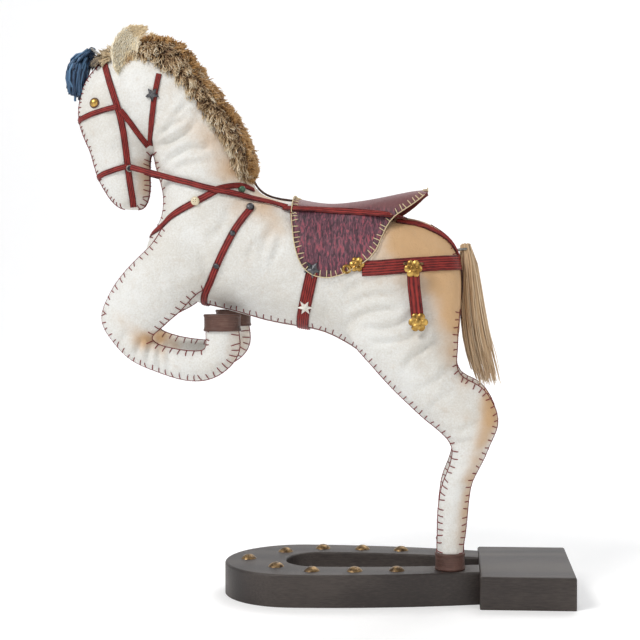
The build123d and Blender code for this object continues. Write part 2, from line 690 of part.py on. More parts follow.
def saddle_form(extra):
    """The space under the saddle: flanks of the figure, raised on top."""
    wires = []
    for x, top in SADDLE_TOP:
        side = []
        for z in (213, 223, 233, 243, 251):
            p, n = flank(x, z)
            slope = max(abs(n.Y), 0.5)
            side.append((abs(p.Y) + (SADDLE_GAP + extra) / slope, fz(z)))
        y1, z1 = side[-1]
        rise = fz(top) - SADDLE_T + extra - z1
        side += [(y1 * 0.93, z1 + rise * 0.38), (y1 * 0.66, z1 + rise * 0.78)]
        pts = ([(fx(x), -y, z) for y, z in side]
               + [(fx(x), 0, fz(top) - SADDLE_T + extra)]
               + [(fx(x), y, z) for y, z in reversed(side)])
        wires.append(Wire([Spline(pts), Line(pts[-1], pts[0])]))
    return Solid.make_loft(wires)


def side_prism(points, half_y):
    pts = [Vector(fx(x), -half_y, fz(z)) for x, z in points]
    face = Face(Wire.make_polygon(pts, close=True))
    return Solid.extrude(face, (0, 2 * half_y, 0))


saddle_in = saddle_form(0.0)
cut = side_prism(SADDLE_EDGE, 60)
parts["saddle"] = (saddle_form(SADDLE_T) & cut) - saddle_in
pad_edge = [(-11, 262), (66, 262), (66, 292), (-11, 292)]
parts["saddle_pad"] = (saddle_in & side_prism(pad_edge, 60)) - body_clear
saddle_side = saddle_form(SADDLE_T).faces()


def on_saddle(x, z):
    """The saddle's near face and its outward normal."""
    axis = Axis(Vector(fx(x), -90.0, fz(z)), Vector(0, 1, 0))
    hits = [h for f in saddle_side for h in f.find_intersection_points(axis)]
    p, n = min(hits, key=lambda h: h[0].Y)
    return p, (n if n.Y < 0 else n * -1)


saddle_strap = strap([(p, n, 0.0) for p, n in (
    on_saddle(x, z) for x, z in ((-12, 266.4), (0, 266), (12, 265.4),
                                 (24, 264.8), (37, 263.8), (49, 262.6)))],
    REIN_W)
parts["saddle_straps"] = pair(saddle_strap)
conchos = []
for shape, x, z in ((star, 0.4, 227.6), (flower, 30.6, 231.8)):
    p, n = on_saddle(x, z)
    conchos.append(shape(Plane(origin=p + n * 0.2, x_dir=n.cross(UP),
                               z_dir=n)))
parts["saddle_conchos"] = bunch(*conchos, *[mirror_side(q) for q in conchos])

os.makedirs("parts", exist_ok=True)
wire_room = bunch(wire(NEAR, WIRE_D / 2 + WIRE_EASE),
                  wire(FAR, WIRE_D / 2 + WIRE_EASE))
for name in ("body_skin_near", "body_skin_far"):
    parts[name] = biggest(parts[name] - all_staples - wire_room)
parts["body_stuffing"] = biggest(stuffing - all_staples - wire_room)
for name, shape in parts.items():
    export_step(shape, "parts/" + name + ".step")
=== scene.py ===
"""A hand-stitched stuffed leather horse on a horseshoe-shaped wooden stand.

Lengths in this file are millimetres until a mesh is made, when they become
metres.  The horse faces -X, its near side is -Y and +Z is up.
"""
import math

import bmesh
import bpy
import numpy as np
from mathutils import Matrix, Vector
from mathutils.bvhtree import BVHTree


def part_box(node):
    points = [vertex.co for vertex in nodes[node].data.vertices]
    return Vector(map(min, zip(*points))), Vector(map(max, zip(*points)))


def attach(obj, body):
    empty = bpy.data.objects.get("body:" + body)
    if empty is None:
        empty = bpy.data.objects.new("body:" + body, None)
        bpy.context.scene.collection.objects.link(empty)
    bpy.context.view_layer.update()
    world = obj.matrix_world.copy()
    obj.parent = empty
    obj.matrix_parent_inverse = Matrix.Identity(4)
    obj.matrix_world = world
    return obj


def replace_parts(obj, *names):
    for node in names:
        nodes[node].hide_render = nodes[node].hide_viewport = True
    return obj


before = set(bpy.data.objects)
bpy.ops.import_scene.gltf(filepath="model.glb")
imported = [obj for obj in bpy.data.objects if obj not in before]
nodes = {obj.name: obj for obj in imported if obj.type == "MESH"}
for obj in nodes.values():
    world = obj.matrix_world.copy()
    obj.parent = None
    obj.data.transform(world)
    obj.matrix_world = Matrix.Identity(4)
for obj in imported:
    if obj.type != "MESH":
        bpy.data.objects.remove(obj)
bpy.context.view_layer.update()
dice = np.random.default_rng(11)
MM = 0.001
NEAR, FAR = -1.0, 1.0
SIDES = ((NEAR, "near"), (FAR, "far"))

# ---- sizes of leather, straps and stitches (mm) -----------------------------
SKIN_VOXEL = 1.5            # mesh size of the skin
SEAM_REACH = 1.9            # a seam is sewn where it lies this near the skin
STITCH_PITCH = 4.9
HEAD_PITCH = 3.5
SADDLE_STITCH_PITCH = 3.9
THREAD_R = 0.36
STRAP_T = 1.2
SADDLE_T = 1.3
SADDLE_GAP = 1.0            # between the skin and the saddle's flaps
HEAD_STRAP_W = 3.9
REIN_W = 4.2
COLLAR_W = 4.8
GIRTH_W = 8.6
BREECH_W = 10.6
PENDANT_W = 8.6
CRUPPER_W = 5.6
FAR_FOOT_RISE = 2.5         # the far forefoot is folded this much higher
OUTSIDE = 120               # rays at the flanks start this far out

# ---- stations of the forms, as in the CAD model (mm) ------------------------

# crest point, throat or belly point, half width
BODY = [
    (-137, 268.8, -127, 268.5, 5), (-143, 272, -122.5, 270.5, 10),
    (-150, 281, -119, 280, 14), (-157, 296, -118.8, 294, 16),
    (-161, 310, -118.5, 303, 17.5), (-167.5, 326, -118, 307.5, 19),
    (-168.5, 343, -117, 309.5, 20), (-163, 360, -116.3, 310.3, 19.5),
    (-150, 374, -115.8, 310.6, 19), (-134, 382, -115.4, 310.6, 19),
    (-115, 382, -115.1, 310.2, 20), (-99, 375, -114.9, 309, 20.5),
    (-86, 366, -114.8, 307, 21), (-73, 352, -114.5, 302.5, 22),
    (-61, 333, -112.5, 294, 23.5), (-53, 312, -109.5, 284, 25),
    (-47.5, 292, -108.3, 272, 27), (-41, 281, -112, 258, 29),
    (-29, 275.5, -121, 240, 31), (-12, 273, -112, 218, 32),
    (5, 269, -90, 205, 33), (22, 266, -60, 197, 33),
    (40, 264, -25, 188, 33), (57, 263, 8, 181, 33.5),
    (72, 260.5, 38, 163, 35), (85, 254.5, 62, 150, 35),
    (95, 245, 80, 150, 33), (100, 230, 95, 165, 28),
    (101, 215, 100, 185, 15)]
# outer point, inner point, half width, distance of the middle from Y = 0
FORELEG = [
    (-102, 258, -62, 234, 12, 18), (-113, 243, -70, 219, 13.5, 21),
    (-124, 232, -82, 208.5, 13.5, 22), (-136, 218.5, -91, 199, 13, 22),
    (-144, 205, -99, 192, 12.5, 22), (-147.5, 191, -107, 185, 12, 22),
    (-141, 178, -112, 180.5, 11.5, 22), (-128, 164.5, -112.5, 177.5, 11, 22),
    (-111.5, 156.5, -107, 174, 10.5, 22), (-93, 150.5, -92, 170.5, 10, 22),
    (-74, 150, -79, 169.8, 10, 22), (-60, 157.5, -75.5, 171, 10, 22),
    (-51.5, 170, -74.7, 175, 10.5, 22), (-52, 183.4, -74.7, 183.4, 10.5, 22),
    (-52, 193, -74.7, 193, 10.5, 22)]
HINDLEG = [
    (20, 215, 88, 232, 15, 18), (22, 190, 96, 212, 16, 19),
    (27, 175, 98.5, 192, 16.5, 20), (38, 162, 98.5, 172, 16, 21),
    (52, 146.5, 98, 160, 15, 22), (64, 135, 103, 152, 14, 23),
    (76, 124, 114, 146, 13, 24), (86, 116, 122.5, 135, 12, 25),
    (92, 110, 126, 122.5, 11, 26), (95, 101.5, 121.5, 109, 10, 26.5),
    (91.6, 88.4, 115.5, 95.5, 9.5, 27), (88, 79, 108.8, 82, 9, 27),
    (85.5, 64, 106, 67, 8.8, 27), (84.8, 46, 104, 47, 8.8, 27),
    (84.6, 34.6, 102.4, 34.6, 8.8, 27), (84.6, 25, 102.4, 25, 8.8, 27)]
# the far foreleg is folded a little higher than the near one
FORELEG_FAR = [
    (a + dx, b + dz, c + dx, d + dz, w, y) for (a, b, c, d, w, y), dx, dz in zip(
        FORELEG, (0, 0, -.5, -2, -3.5, -5, -5.5, -5.5, -5, -4, -2, -.5, 0, 0, 0),
        (0, 0, .5, 2, 4, 5.5, 6.5, 7, 7, 6.5, 5.5, 4, 3) + (FAR_FOOT_RISE,) * 2)]
MANE = [
    (-138, 385, -131, 372, 10), (-120, 388, -119, 367, 15),
    (-101, 387, -108, 358, 18), (-87.5, 373, -97, 351, 19),
    (-75, 357, -87, 339, 20), (-65, 343, -78, 329, 21),
    (-55, 329, -69, 317, 22), (-47.5, 314, -62, 306, 21),
    (-45, 301, -60, 296, 18), (-47, 288, -55, 286, 12)]
SADDLE_TOP = [(-17, 277), (-5, 274.2), (10, 272.4), (25, 273.4), (40, 275.6),
              (55, 278.6), (68, 281), (78, 282)]
SADDLE_EDGE = [(-15, 264), (-14, 253), (-11.6, 241), (-6.9, 228.5),
               (-0.1, 222.3), (10, 220.2), (19.4, 222), (25.5, 224.8),
               (34.9, 230.2), (43.7, 239.7), (48.4, 251.8), (56, 262.5),
               (66, 269.5), (77.5, 279.5)]


# ---- numpy shapes -----------------------------------------------------------
def spline(points, n, even=True, number=None):
    """A natural cubic through the points, at n places evenly along it.

    With number it is read at those point numbers instead, whole or part.
    """
    p = np.asarray(points, float)
    t = np.r_[0, np.cumsum(np.linalg.norm(np.diff(p, axis=0), axis=1) ** 0.5)]
    m = len(p)
    if m == 2:
        return p[0] + (p[1] - p[0]) * np.linspace(0, 1, n)[:, None]
    h = np.diff(t)
    A = np.zeros((m, m))
    A[0, 0] = A[-1, -1] = 1
    r = np.zeros_like(p)
    i = np.arange(1, m - 1)
    A[i, i - 1], A[i, i], A[i, i + 1] = h[:-1], 2 * (h[:-1] + h[1:]), h[1:]
    r[1:-1] = 3 * ((p[2:] - p[1:-1]) / h[1:, None]
                   - (p[1:-1] - p[:-2]) / h[:-1, None])
    c = np.linalg.solve(A, r)

    def at(s):
        k = np.clip(np.searchsorted(t, s, side="right") - 1, 0, m - 2)
        u = (s - t[k])[:, None]
        hk = h[k][:, None]
        b = (p[k + 1] - p[k]) / hk - hk * (2 * c[k] + c[k + 1]) / 3
        d = (c[k + 1] - c[k]) / (3 * hk)
        return p[k] + u * (b + u * (c[k] + u * d))

    if number is not None:
        return at(np.interp(number, np.arange(m), t))
    if not even:
        return at(np.linspace(0, t[-1], n))
    s = np.linspace(0, t[-1], max(8 * n, 64))
    q = at(s)
    run = np.r_[0, np.cumsum(np.linalg.norm(np.diff(q, axis=0), axis=1))]
    return at(np.interp(np.linspace(0, run[-1], n), run, s))


def grid_faces(nu, nv, wrap_v, start=0):
    """Quads of a grid whose second index may close on itself."""
    i, j = np.meshgrid(np.arange(nu - 1), np.arange(nv if wrap_v else nv - 1),
                       indexing="ij")
    k = (j + 1) % nv
    return (np.stack([i * nv + j, i * nv + k, (i + 1) * nv + k,
                      (i + 1) * nv + j], -1).reshape(-1, 4) + start)


def make(name, verts, faces, uv=None, tint=None):
    """A smooth mesh object from an array in millimetres and its faces."""
    me = bpy.data.meshes.new(name)
    v = np.asarray(verts, float).reshape(-1, 3) * MM
    me.from_pydata(v.tolist(), [], [f.tolist() for f in faces])
    if uv is not None:
        layer = me.uv_layers.new(name="run")
        loops = np.empty(len(me.loops), np.int32)
        me.loops.foreach_get("vertex_index", loops)
        layer.data.foreach_set("uv", np.asarray(uv, np.float32).reshape(
            -1, 2)[loops].ravel())
    if tint is not None:
        a = me.attributes.new("tint", "FLOAT", "POINT")
        a.data.foreach_set("value", np.asarray(tint, np.float32).ravel())
    me.polygons.foreach_set("use_smooth", np.ones(len(me.polygons), bool))
    me.update()
    ob = bpy.data.objects.new(name, me)
    bpy.context.scene.collection.objects.link(ob)
    return ob


def unit(v):
    return v / np.maximum(np.linalg.norm(v, axis=-1, keepdims=True), 1e-9)


def frames(path, up):
    """Along, across and up directions at every place of a path."""
    run = unit(np.gradient(path, axis=0))
    across = unit(np.cross(up, run))
    return run, across, unit(np.cross(run, across))


def bundle(paths, radii, sides, tints=None):
    """Many closed tapered tubes at once.

    paths is (tubes, places, 3) and radii (tubes, places): each place of a
    path becomes a ring of points at its radius, and both ends are closed.
    """
    n, m, _ = paths.shape
    run = unit(np.gradient(paths, axis=1))
    ref = np.where(np.abs(run[..., 2:3]) > 0.9, [1.0, 0, 0], [0, 0, 1.0])
    a = unit(np.cross(run, ref))
    b = np.cross(run, a)
    ang = np.arange(sides) * 2 * np.pi / sides
    ring = (a[:, :, None] * np.cos(ang)[:, None]
            + b[:, :, None] * np.sin(ang)[:, None])
    v = paths[:, :, None] + ring * radii[..., None, None]
    one = grid_faces(m, sides, True)
    quads = (one[None] + (np.arange(n) * m * sides)[:, None, None])
    ends = np.arange(sides)
    first = (ends[::-1][None] + (np.arange(n) * m * sides)[:, None])
    last = (ends[None] + ((np.arange(n) + 1) * m * sides - sides)[:, None])
    faces = list(quads.reshape(-1, 4)) + list(first) + list(last)
    t = None
    if tints is not None:
        t = np.repeat(np.broadcast_to(tints, (n, m)).reshape(-1), sides)
    return v.reshape(-1, 3), faces, t


def join(*groups):
    """Puts several (verts, faces, tint) groups into one."""
    v, f, t, k = [], [], [], 0
    for verts, faces, tint in groups:
        v.append(verts)
        f += [q + k for q in faces]
        t.append(np.zeros(len(verts)) if tint is None else tint)
        k += len(verts)
    return np.concatenate(v), f, np.concatenate(t)


def in_disc(n, inner=0.0):
    """Random places in the unit disc, evenly spread over its area."""
    a = dice.uniform(0, 2 * np.pi, n)
    r = np.sqrt(dice.uniform(inner, 1, n))
    return np.stack([np.cos(a) * r, np.sin(a) * r], -1)


def form_point(rows, u, deg, side, grow=0.0):
    """A place on a form: station u (0 to 1), angle up a half section."""
    s = spline(rows, 400)
    k = np.clip(u, 0, 1) * 399
    q = np.stack([np.interp(k, np.arange(400), s[:, c])
                  for c in range(s.shape[1])], -1)
    top = np.stack([q[..., 0], 0 * q[..., 0], q[..., 1]], -1)
    low = np.stack([q[..., 2], 0 * q[..., 0], q[..., 3]], -1)
    mid, tall = (top + low) / 2, (top - low) / 2
    tall = tall * (1 + grow / np.maximum(
        np.linalg.norm(tall, axis=-1, keepdims=True), 1e-6))
    a = np.radians(deg)
    p = mid + tall * np.sin(a)[..., None]
    y0 = q[..., 5] if q.shape[-1] > 5 else 0.0
    p[..., 1] = side * (y0 + (q[..., 4] + grow) * np.cos(a))
    return p


def form(rows, n_long, n_round, grow=0.0, y_side=0.0):
    """A closed stuffed form: ellipses carried along two rails."""
    s = spline(rows, n_long)
    top = np.stack([s[:, 0], 0 * s[:, 0], s[:, 1]], -1)
    low = np.stack([s[:, 2], 0 * s[:, 0], s[:, 3]], -1)
    mid, tall = (top + low) / 2, (top - low) / 2
    half = np.linalg.norm(tall, axis=1, keepdims=True)
    tall = tall * (1 + grow / half)
    ang = np.arange(n_round) * 2 * np.pi / n_round
    v = (mid[:, None] + tall[:, None] * np.sin(ang)[:, None]
         + np.array([0, 1, 0.]) * (s[:, 4] + grow)[:, None, None]
         * np.cos(ang)[None, :, None])
    if s.shape[1] > 5:
        v[..., 1] += y_side * s[:, 5][:, None]
    flat = v.reshape(-1, 3)
    k = len(flat)
    ends = np.stack([v[0].mean(0), v[-1].mean(0)])
    j = np.arange(n_round)
    n = (j + 1) % n_round
    caps = list(np.stack([j * 0 + k, n, j], 1)) + list(
        np.stack([j * 0 + k + 1, k - n_round + j, k - n_round + n], 1))
    faces = list(grid_faces(n_long, n_round, True)) + caps
    return np.concatenate([flat, ends]), faces, None


def outward(ob):
    """Turns every face of a closed mesh outward."""
    bm = bmesh.new()
    bm.from_mesh(ob.data)
    bmesh.ops.remove_doubles(bm, verts=bm.verts, dist=1e-6)
    bmesh.ops.recalc_face_normals(bm, faces=bm.faces)
    bm.to_mesh(ob.data)
    bm.free()


def apply_all(ob):
    """Applies every modifier of a piece."""
    graph = bpy.context.evaluated_depsgraph_get()
    me = bpy.data.meshes.new_from_object(ob.evaluated_get(graph))
    ob.modifiers.clear()
    ob.data = me


def coords(ob):
    """The corners of a mesh, in millimetres."""
    v = np.empty(len(ob.data.vertices) * 3)
    ob.data.vertices.foreach_get("co", v)
    return v.reshape(-1, 3) / MM


def normals(ob):
    v = np.empty(len(ob.data.vertices) * 3, np.float32)
    ob.data.vertex_normals.foreach_get("vector", v)
    return v.reshape(-1, 3).astype(float)


def set_coords(ob, v):
    ob.data.vertices.foreach_set("co", (v * MM).ravel())
    ob.data.update()


# ---- materials --------------------------------------------------------------
class Socket:
    """A number in a material, so that its maths reads as Python."""

    def __init__(self, kit, link):
        self.kit, self.link = kit, link

    def _op(self, op, other):
        return self.kit.node("Math", {"operation": op},
                             {0: self, 1: other})[0]

    def __add__(self, other):
        return self._op("ADD", other)

    def __sub__(self, other):
        return self._op("SUBTRACT", other)

    def __mul__(self, other):
        return self._op("MULTIPLY", other)

    __radd__ = __add__

    def step(self, low, high):
        """Eases from 0 to 1 between two values."""
        return self.kit.node("MapRange", {"interpolation_type": "SMOOTHSTEP"},
                             {0: self, 1: low, 2: high, 3: 0.0, 4: 1.0})[0]


class Finish:
    """One material: a surface shader and the nodes that feed it."""

    def __init__(self, name, **fixed):
        self.mat = bpy.data.materials.new(name)
        self.mat.use_nodes = True
        self.tree = self.mat.node_tree
        self.shader = self.tree.nodes["Principled BSDF"]
        for key, value in fixed.items():
            self.shader.inputs[key.replace("_", " ")].default_value = value

    def node(self, kind, settings, sockets):
        """Adds a node; its settings first, then socket values or links."""
        n = self.tree.nodes.new("ShaderNode" + kind)
        for key, value in settings.items():
            if key == "stops":
                ramp = n.color_ramp
                while len(ramp.elements) < len(value):
                    ramp.elements.new(0.5)
                for e, (at, colour) in zip(ramp.elements, value):
                    e.position, e.color = at, (*colour, 1)
            else:
                setattr(n, key, value)
        for key, value in sockets.items():
            if isinstance(value, Socket):
                self.tree.links.new(value.link, n.inputs[key])
            else:
                n.inputs[key].default_value = value
        return [Socket(self, o) for o in n.outputs]

    def place(self, scale=(1, 1, 1)):
        """Object coordinates in metres, stretched."""
        at = self.node("TexCoord", {}, {})[3]
        return self.node("Mapping", {}, {0: at, 3: scale})[0]

    def run_uv(self, scale):
        """Millimetres along and across a strap, stretched."""
        at = self.node("UVMap", {"uv_map": "run"}, {})[0]
        return self.node("Mapping", {}, {0: at, 3: scale})[0]

    def noise(self, scale, at, detail=4.0, rough=0.55, warp=0.0):
        return self.node("TexNoise", {}, {
            "Vector": at, "Scale": scale, "Detail": detail,
            "Roughness": rough, "Distortion": warp})[0]

    def cells(self, scale, at):
        return self.node("TexVoronoi", {}, {"Vector": at, "Scale": scale})[0]

    def tint(self):
        return self.node("Attribute", {"attribute_name": "tint"}, {})[2]

    def ramp(self, value, *stops):
        return self.node("ValToRGB", {"stops": stops}, {0: value})[0]

    def mix(self, amount, a, b):
        """Between two colours."""
        a, b = [c if isinstance(c, Socket) else (*c, 1) for c in (a, b)]
        n = self.tree.nodes.new("ShaderNodeMix")
        n.data_type = "RGBA"
        for i, value in ((0, amount), (6, a), (7, b)):
            if isinstance(value, Socket):
                self.tree.links.new(value.link, n.inputs[i])
            else:
                n.inputs[i].default_value = value
        return Socket(self, n.outputs[2])

    def done(self, colour, rough=None, height=None, depth=0.0002,
             strength=0.6):
        def wire(value, key):
            if isinstance(value, Socket):
                self.tree.links.new(value.link, self.shader.inputs[key])
            elif value is not None:
                self.shader.inputs[key].default_value = value
        wire(colour, "Base Color")
        wire(rough, "Roughness")
        if height is not None:
            bump = self.node("Bump", {}, {"Strength": strength,
                                          "Distance": depth,
                                          "Height": height})
            wire(bump[0], "Normal")
        return self.mat


def cream_leather():
    """Off-white hide: fine grain, creases and warm stains."""
    f = Finish("cream_leather")
    at = f.place()
    grain = f.cells(620, at)
    cloud = f.noise(26, at, 5, 0.6)
    fibre = f.noise(900, at, 2, 0.5)
    stain = (f.tint() + (cloud - 0.5) * 0.45
             + (f.noise(70, at, 4) - 0.5) * 0.4).step(0.05, 1.0)
    clean = f.mix((cloud * 0.6 + fibre * 0.4).step(0.35, 0.65),
                  (0.78, 0.78, 0.755), (0.66, 0.635, 0.58))
    colour = f.mix(stain, clean, (0.60, 0.375, 0.19))
    colour = f.mix((f.noise(140, at, 3) - 0.5).step(0.04, 0.4) * 0.35,
                   colour, (0.50, 0.38, 0.26))
    creases = f.noise(120, at, 6, 0.65, 0.8)
    high = grain * 0.4 + fibre * 0.3 + creases * 1.6
    return f.done(colour, 0.55 + cloud * 0.2, high, 0.0006, 0.7)


def streaked_leather(name, light, dark, across):
    """Dyed strap leather with lengthwise grooves; u runs along it. A strap's
    tint adds painted shade, darker in its grooves and at its rounded edges.
    """
    f = Finish(name)
    groove = f.noise(1.0, f.run_uv((0.05, across, 1)), 4, 0.7)
    blotch = f.noise(1.0, f.run_uv((0.16, 0.5, 1)), 3)
    # f.tint() is painted shade from the strap's ridges: dark in the grooves and
    # at the edges
    tone = (groove * 0.7 + blotch * 0.6 + f.tint() * 0.4).step(0.55, 1.1)
    colour = f.mix(tone, dark, light)
    pore = f.cells(900, f.place())
    f.shader.inputs["Specular IOR Level"].default_value = 0.3
    return f.done(colour, 0.42 + groove * 0.25, groove * 1.2 + pore * 0.25,
                  0.0005, 0.8)


def plum_leather():
    """The saddle: brushed plum-red hide with fine vertical streaks, and a
    lighter, greyer mauve on its top that is painted light.
    """
    f = Finish("plum_leather")
    streak = f.noise(1.0, f.run_uv((0.75, 0.17, 1)), 4, 0.6, 1.0)
    broad = f.noise(32, f.place(), 4)
    flap = f.ramp(streak * 0.85 + broad * 0.15,
                  (0.36, (0.030, 0.012, 0.020)), (0.46, (0.085, 0.030, 0.045)),
                  (0.53, (0.15, 0.055, 0.080)), (0.62, (0.36, 0.070, 0.095)))
    seat_painted_light = f.mix(streak * 0.6 + broad * 0.4, (0.085, 0.028, 0.032),
                 (0.27, 0.105, 0.105))
    # above 262 to 270 mm the top of the saddle takes the seat colour: painted
    # light on the upward-facing leather
    high = f.node("SeparateXYZ", {}, {0: f.place()})[2]
    colour = f.mix((high + (broad - 0.5) * 0.01).step(0.262, 0.270),
                   flap, seat_painted_light)
    return f.done(colour, 0.38 + broad * 0.25,
                  streak + f.cells(700, f.place()) * 0.3, 0.0004, 0.6)


def brown_leather():
    """Dark brown cuffs, brushed crosswise and worn in patches."""
    f = Finish("brown_leather")
    at = f.place()
    cloud = f.noise(60, at, 5)
    brush = f.noise(90, f.place((1, 1, 14)), 4)
    colour = f.ramp(cloud * 0.5 + brush * 0.5, (0.3, (0.040, 0.018, 0.012)),
                    (0.56, (0.11, 0.048, 0.034)), (0.75, (0.21, 0.12, 0.09)))
    return f.done(colour, 0.55, f.cells(650, at) + brush, 0.0004, 0.6)


def dark_wood():
    """Espresso-stained wood: long pores, faint figure and broad cloudy patches.
    """
    f = Finish("dark_wood")
    at = f.place((1.0, 9.0, 9.0))
    pores = f.noise(150, at, 5, 0.65)
    figure = f.node("TexWave", {"bands_direction": "Y"}, {
        "Vector": f.place((0.8, 4, 4)), "Scale": 2.6, "Distortion": 9.0,
        "Detail": 3.0})[1]
    cloud = f.noise(14, f.place(), 4)
    tone = pores * 0.55 + figure * 0.2 + cloud * 0.35
    colour = f.ramp(tone, (0.30, (0.010, 0.007, 0.006)),
                    (0.52, (0.028, 0.020, 0.017)),
                    (0.72, (0.058, 0.045, 0.038)))
    return f.done(colour, 0.40 + pores * 0.25, pores, 0.0003, 0.5)


def metal(name, light, dark, rough=0.32, grain=120):
    """Aged metal: dark and rubbed bright in random patches."""
    f = Finish(name, Metallic=1.0)
    at = f.place()
    patch = f.noise(grain * 2, at, 5)
    colour = f.mix(patch.step(0.35, 0.65), dark, light)
    return f.done(colour, rough + patch * 0.2, f.noise(grain * 6, at, 3),
                  0.0002, 0.35)


def hair(name, *stops, rough=0.6):
    """Hair or yarn, each strand with its own place on the ramp."""
    f = Finish(name)
    shade = f.tint() + (f.noise(500, f.place((1, 1, 0.3)), 3) - 0.5) * 0.25
    return f.done(f.ramp(shade, *stops), rough)


def plain(name, light, dark, rough, scale):
    """One colour that wanders a little: thread, bone, enamel, paper."""
    f = Finish(name)
    n = f.noise(scale, f.place(), 4)
    return f.done(f.mix(n, light, dark), rough, n, 0.0002, 0.5)


CREAM = cream_leather()
RED = streaked_leather("red_leather", (0.36, 0.038, 0.030),
                       (0.042, 0.004, 0.006), 2.2)
PLUM = plum_leather()
PLUM_BACK = plain("plum_suede", (0.20, 0.035, 0.03), (0.10, 0.018, 0.018),
                  0.8, 260)
BROWN = brown_leather()
WOOD = dark_wood()
BRASS = metal("antique_brass", (0.32, 0.21, 0.10), (0.07, 0.045, 0.028))
GOLD = metal("gold_metal", (0.66, 0.42, 0.12), (0.28, 0.15, 0.04), 0.26)
PEWTER = metal("dark_pewter", (0.16, 0.16, 0.17), (0.045, 0.045, 0.05), 0.35)
STEEL = metal("steel_wire", (0.5, 0.48, 0.45), (0.25, 0.24, 0.22))
THREAD = plain("red_thread", (0.26, 0.026, 0.024), (0.13, 0.012, 0.014), 0.7,
               1500)
CREAM_THREAD = plain("cream_thread", (0.78, 0.66, 0.42), (0.55, 0.42, 0.24),
                     0.7, 1500)
BONE = plain("bone_button", (0.80, 0.72, 0.52), (0.62, 0.52, 0.34), 0.35, 400)
ENAMEL = plain("white_enamel", (0.88, 0.86, 0.80), (0.66, 0.62, 0.55), 0.3, 500)
GREEN = plain("green_bead", (0.07, 0.16, 0.09), (0.03, 0.08, 0.05), 0.2, 500)
YARN = hair("blue_yarn", (0.0, (0.006, 0.012, 0.028)),
            (0.5, (0.022, 0.055, 0.12)), (1.0, (0.10, 0.21, 0.36)), rough=0.5)
FUR = hair("mane_fur", (0.0, (0.06, 0.030, 0.015)), (0.3, (0.24, 0.135, 0.065)),
           (0.5, (0.50, 0.34, 0.18)), (0.75, (0.78, 0.63, 0.42)),
           (1.0, (0.94, 0.88, 0.74)))
RUST = hair("rust_fur", (0.0, (0.14, 0.060, 0.018)), (0.5, (0.50, 0.27, 0.09)),
            (1.0, (0.80, 0.54, 0.26)))
GREY_FUR = hair("grey_fur", (0.0, (0.02, 0.018, 0.016)),
                (0.35, (0.12, 0.10, 0.085)), (0.7, (0.50, 0.38, 0.24)),
                (1.0, (0.88, 0.72, 0.48)))
EAR_FUR = hair("ear_fur", (0.0, (0.07, 0.030, 0.015)),
               (0.4, (0.60, 0.40, 0.20)), (0.8, (0.95, 0.80, 0.54)),
               (1.0, (1.0, 0.93, 0.76)))
BLOND = hair("blond_fibre", (0.0, (0.24, 0.14, 0.075)),
             (0.45, (0.62, 0.43, 0.25)), (1.0, (0.88, 0.72, 0.52)))


def finish(ob, *mats):
    """Gives a piece its materials, in place of any it had."""
    ob.data.materials.clear()
    for m in mats:
        ob.data.materials.append(m)
    return ob


def piece(name, verts, faces, mat, body="figure", closed=True, **more):
    """A finished mesh that rides on a body; closed ones face outward."""
    ob = finish(make(name, verts, faces, **more), mat)
    if closed:
        outward(ob)
    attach(ob, body)
    return ob


# ---- the stuffed skin -------------------------------------------------------
def stuffed_skin():
    """One skin over body and legs: the forms joined, then eased together."""
    groups = [form(BODY, 220, 72)]
    for side in (NEAR, FAR):
        fore = FORELEG if side == NEAR else FORELEG_FAR
        groups += [form(fore, 140, 40, y_side=side),
                   form(HINDLEG, 160, 40, y_side=side)]
    loose = [make("form", v, f) for v, f, _ in groups]
    for ob in loose:
        outward(ob)
    bpy.ops.object.select_all(action="DESELECT")
    for ob in loose:
        ob.select_set(True)
    bpy.context.view_layer.objects.active = loose[0]
    bpy.ops.object.join()
    skin = bpy.context.view_layer.objects.active
    skin.name = skin.data.name = "leather_skin"
    mod = skin.modifiers.new("one", "REMESH")
    mod.mode, mod.voxel_size = "VOXEL", SKIN_VOXEL * MM
    apply_all(skin)
    smooth = skin.modifiers.new("ease", "SMOOTH")
    smooth.factor, smooth.iterations = 0.5, 10
    apply_all(skin)
    return skin


# Folds: middle x and z, direction in degrees, length, width, depth.
FOLDS = [
    (-98, 323, 30, 26, 2.2, 1.7), (-93, 315, 28, 32, 2.6, 2.0),
    (-88, 306, 20, 32, 2.6, 1.7), (-93, 331, 44, 20, 2.2, 1.1),
    (-84, 297, 12, 28, 2.6, 1.2), (-78, 305, 30, 18, 2.2, 0.9),
    (44, 196, 12, 40, 2.8, 1.5), (56, 186, 18, 38, 2.8, 1.7),
    (44, 206, 8, 30, 3.0, 1.1), (60, 176, 14, 34, 2.6, 1.5),
    (72, 168, 44, 26, 2.6, 1.4), (80, 174, 60, 22, 2.4, 1.2),
    (34, 214, 20, 22, 3.0, 0.8), (86, 150, 36, 24, 2.6, 0.9),
    (-30, 244, 68, 24, 3.2, 1.2), (-22, 238, 74, 20, 3.0, 1.0),
    (-38, 240, 60, 18, 3.0, 0.9), (-62, 252, 52, 26, 3.4, 0.7),
    (-118, 172, 72, 11, 2.0, 1.3), (-111, 168, 84, 13, 1.9, 1.5),
    (-104, 164, 88, 13, 1.9, 1.3), (-97, 162, 96, 13, 2.0, 1.0),
    (108, 118, 24, 16, 2.4, 0.7), (104, 108, 10, 15, 2.2, 0.7),
    (100, 92, 4, 13, 2.0, 0.5), (-128, 178, 50, 12, 2.2, 0.7),
    (88, 136, 40, 22, 2.8, 0.7), (12, 200, 80, 20, 4.0, 0.5)]
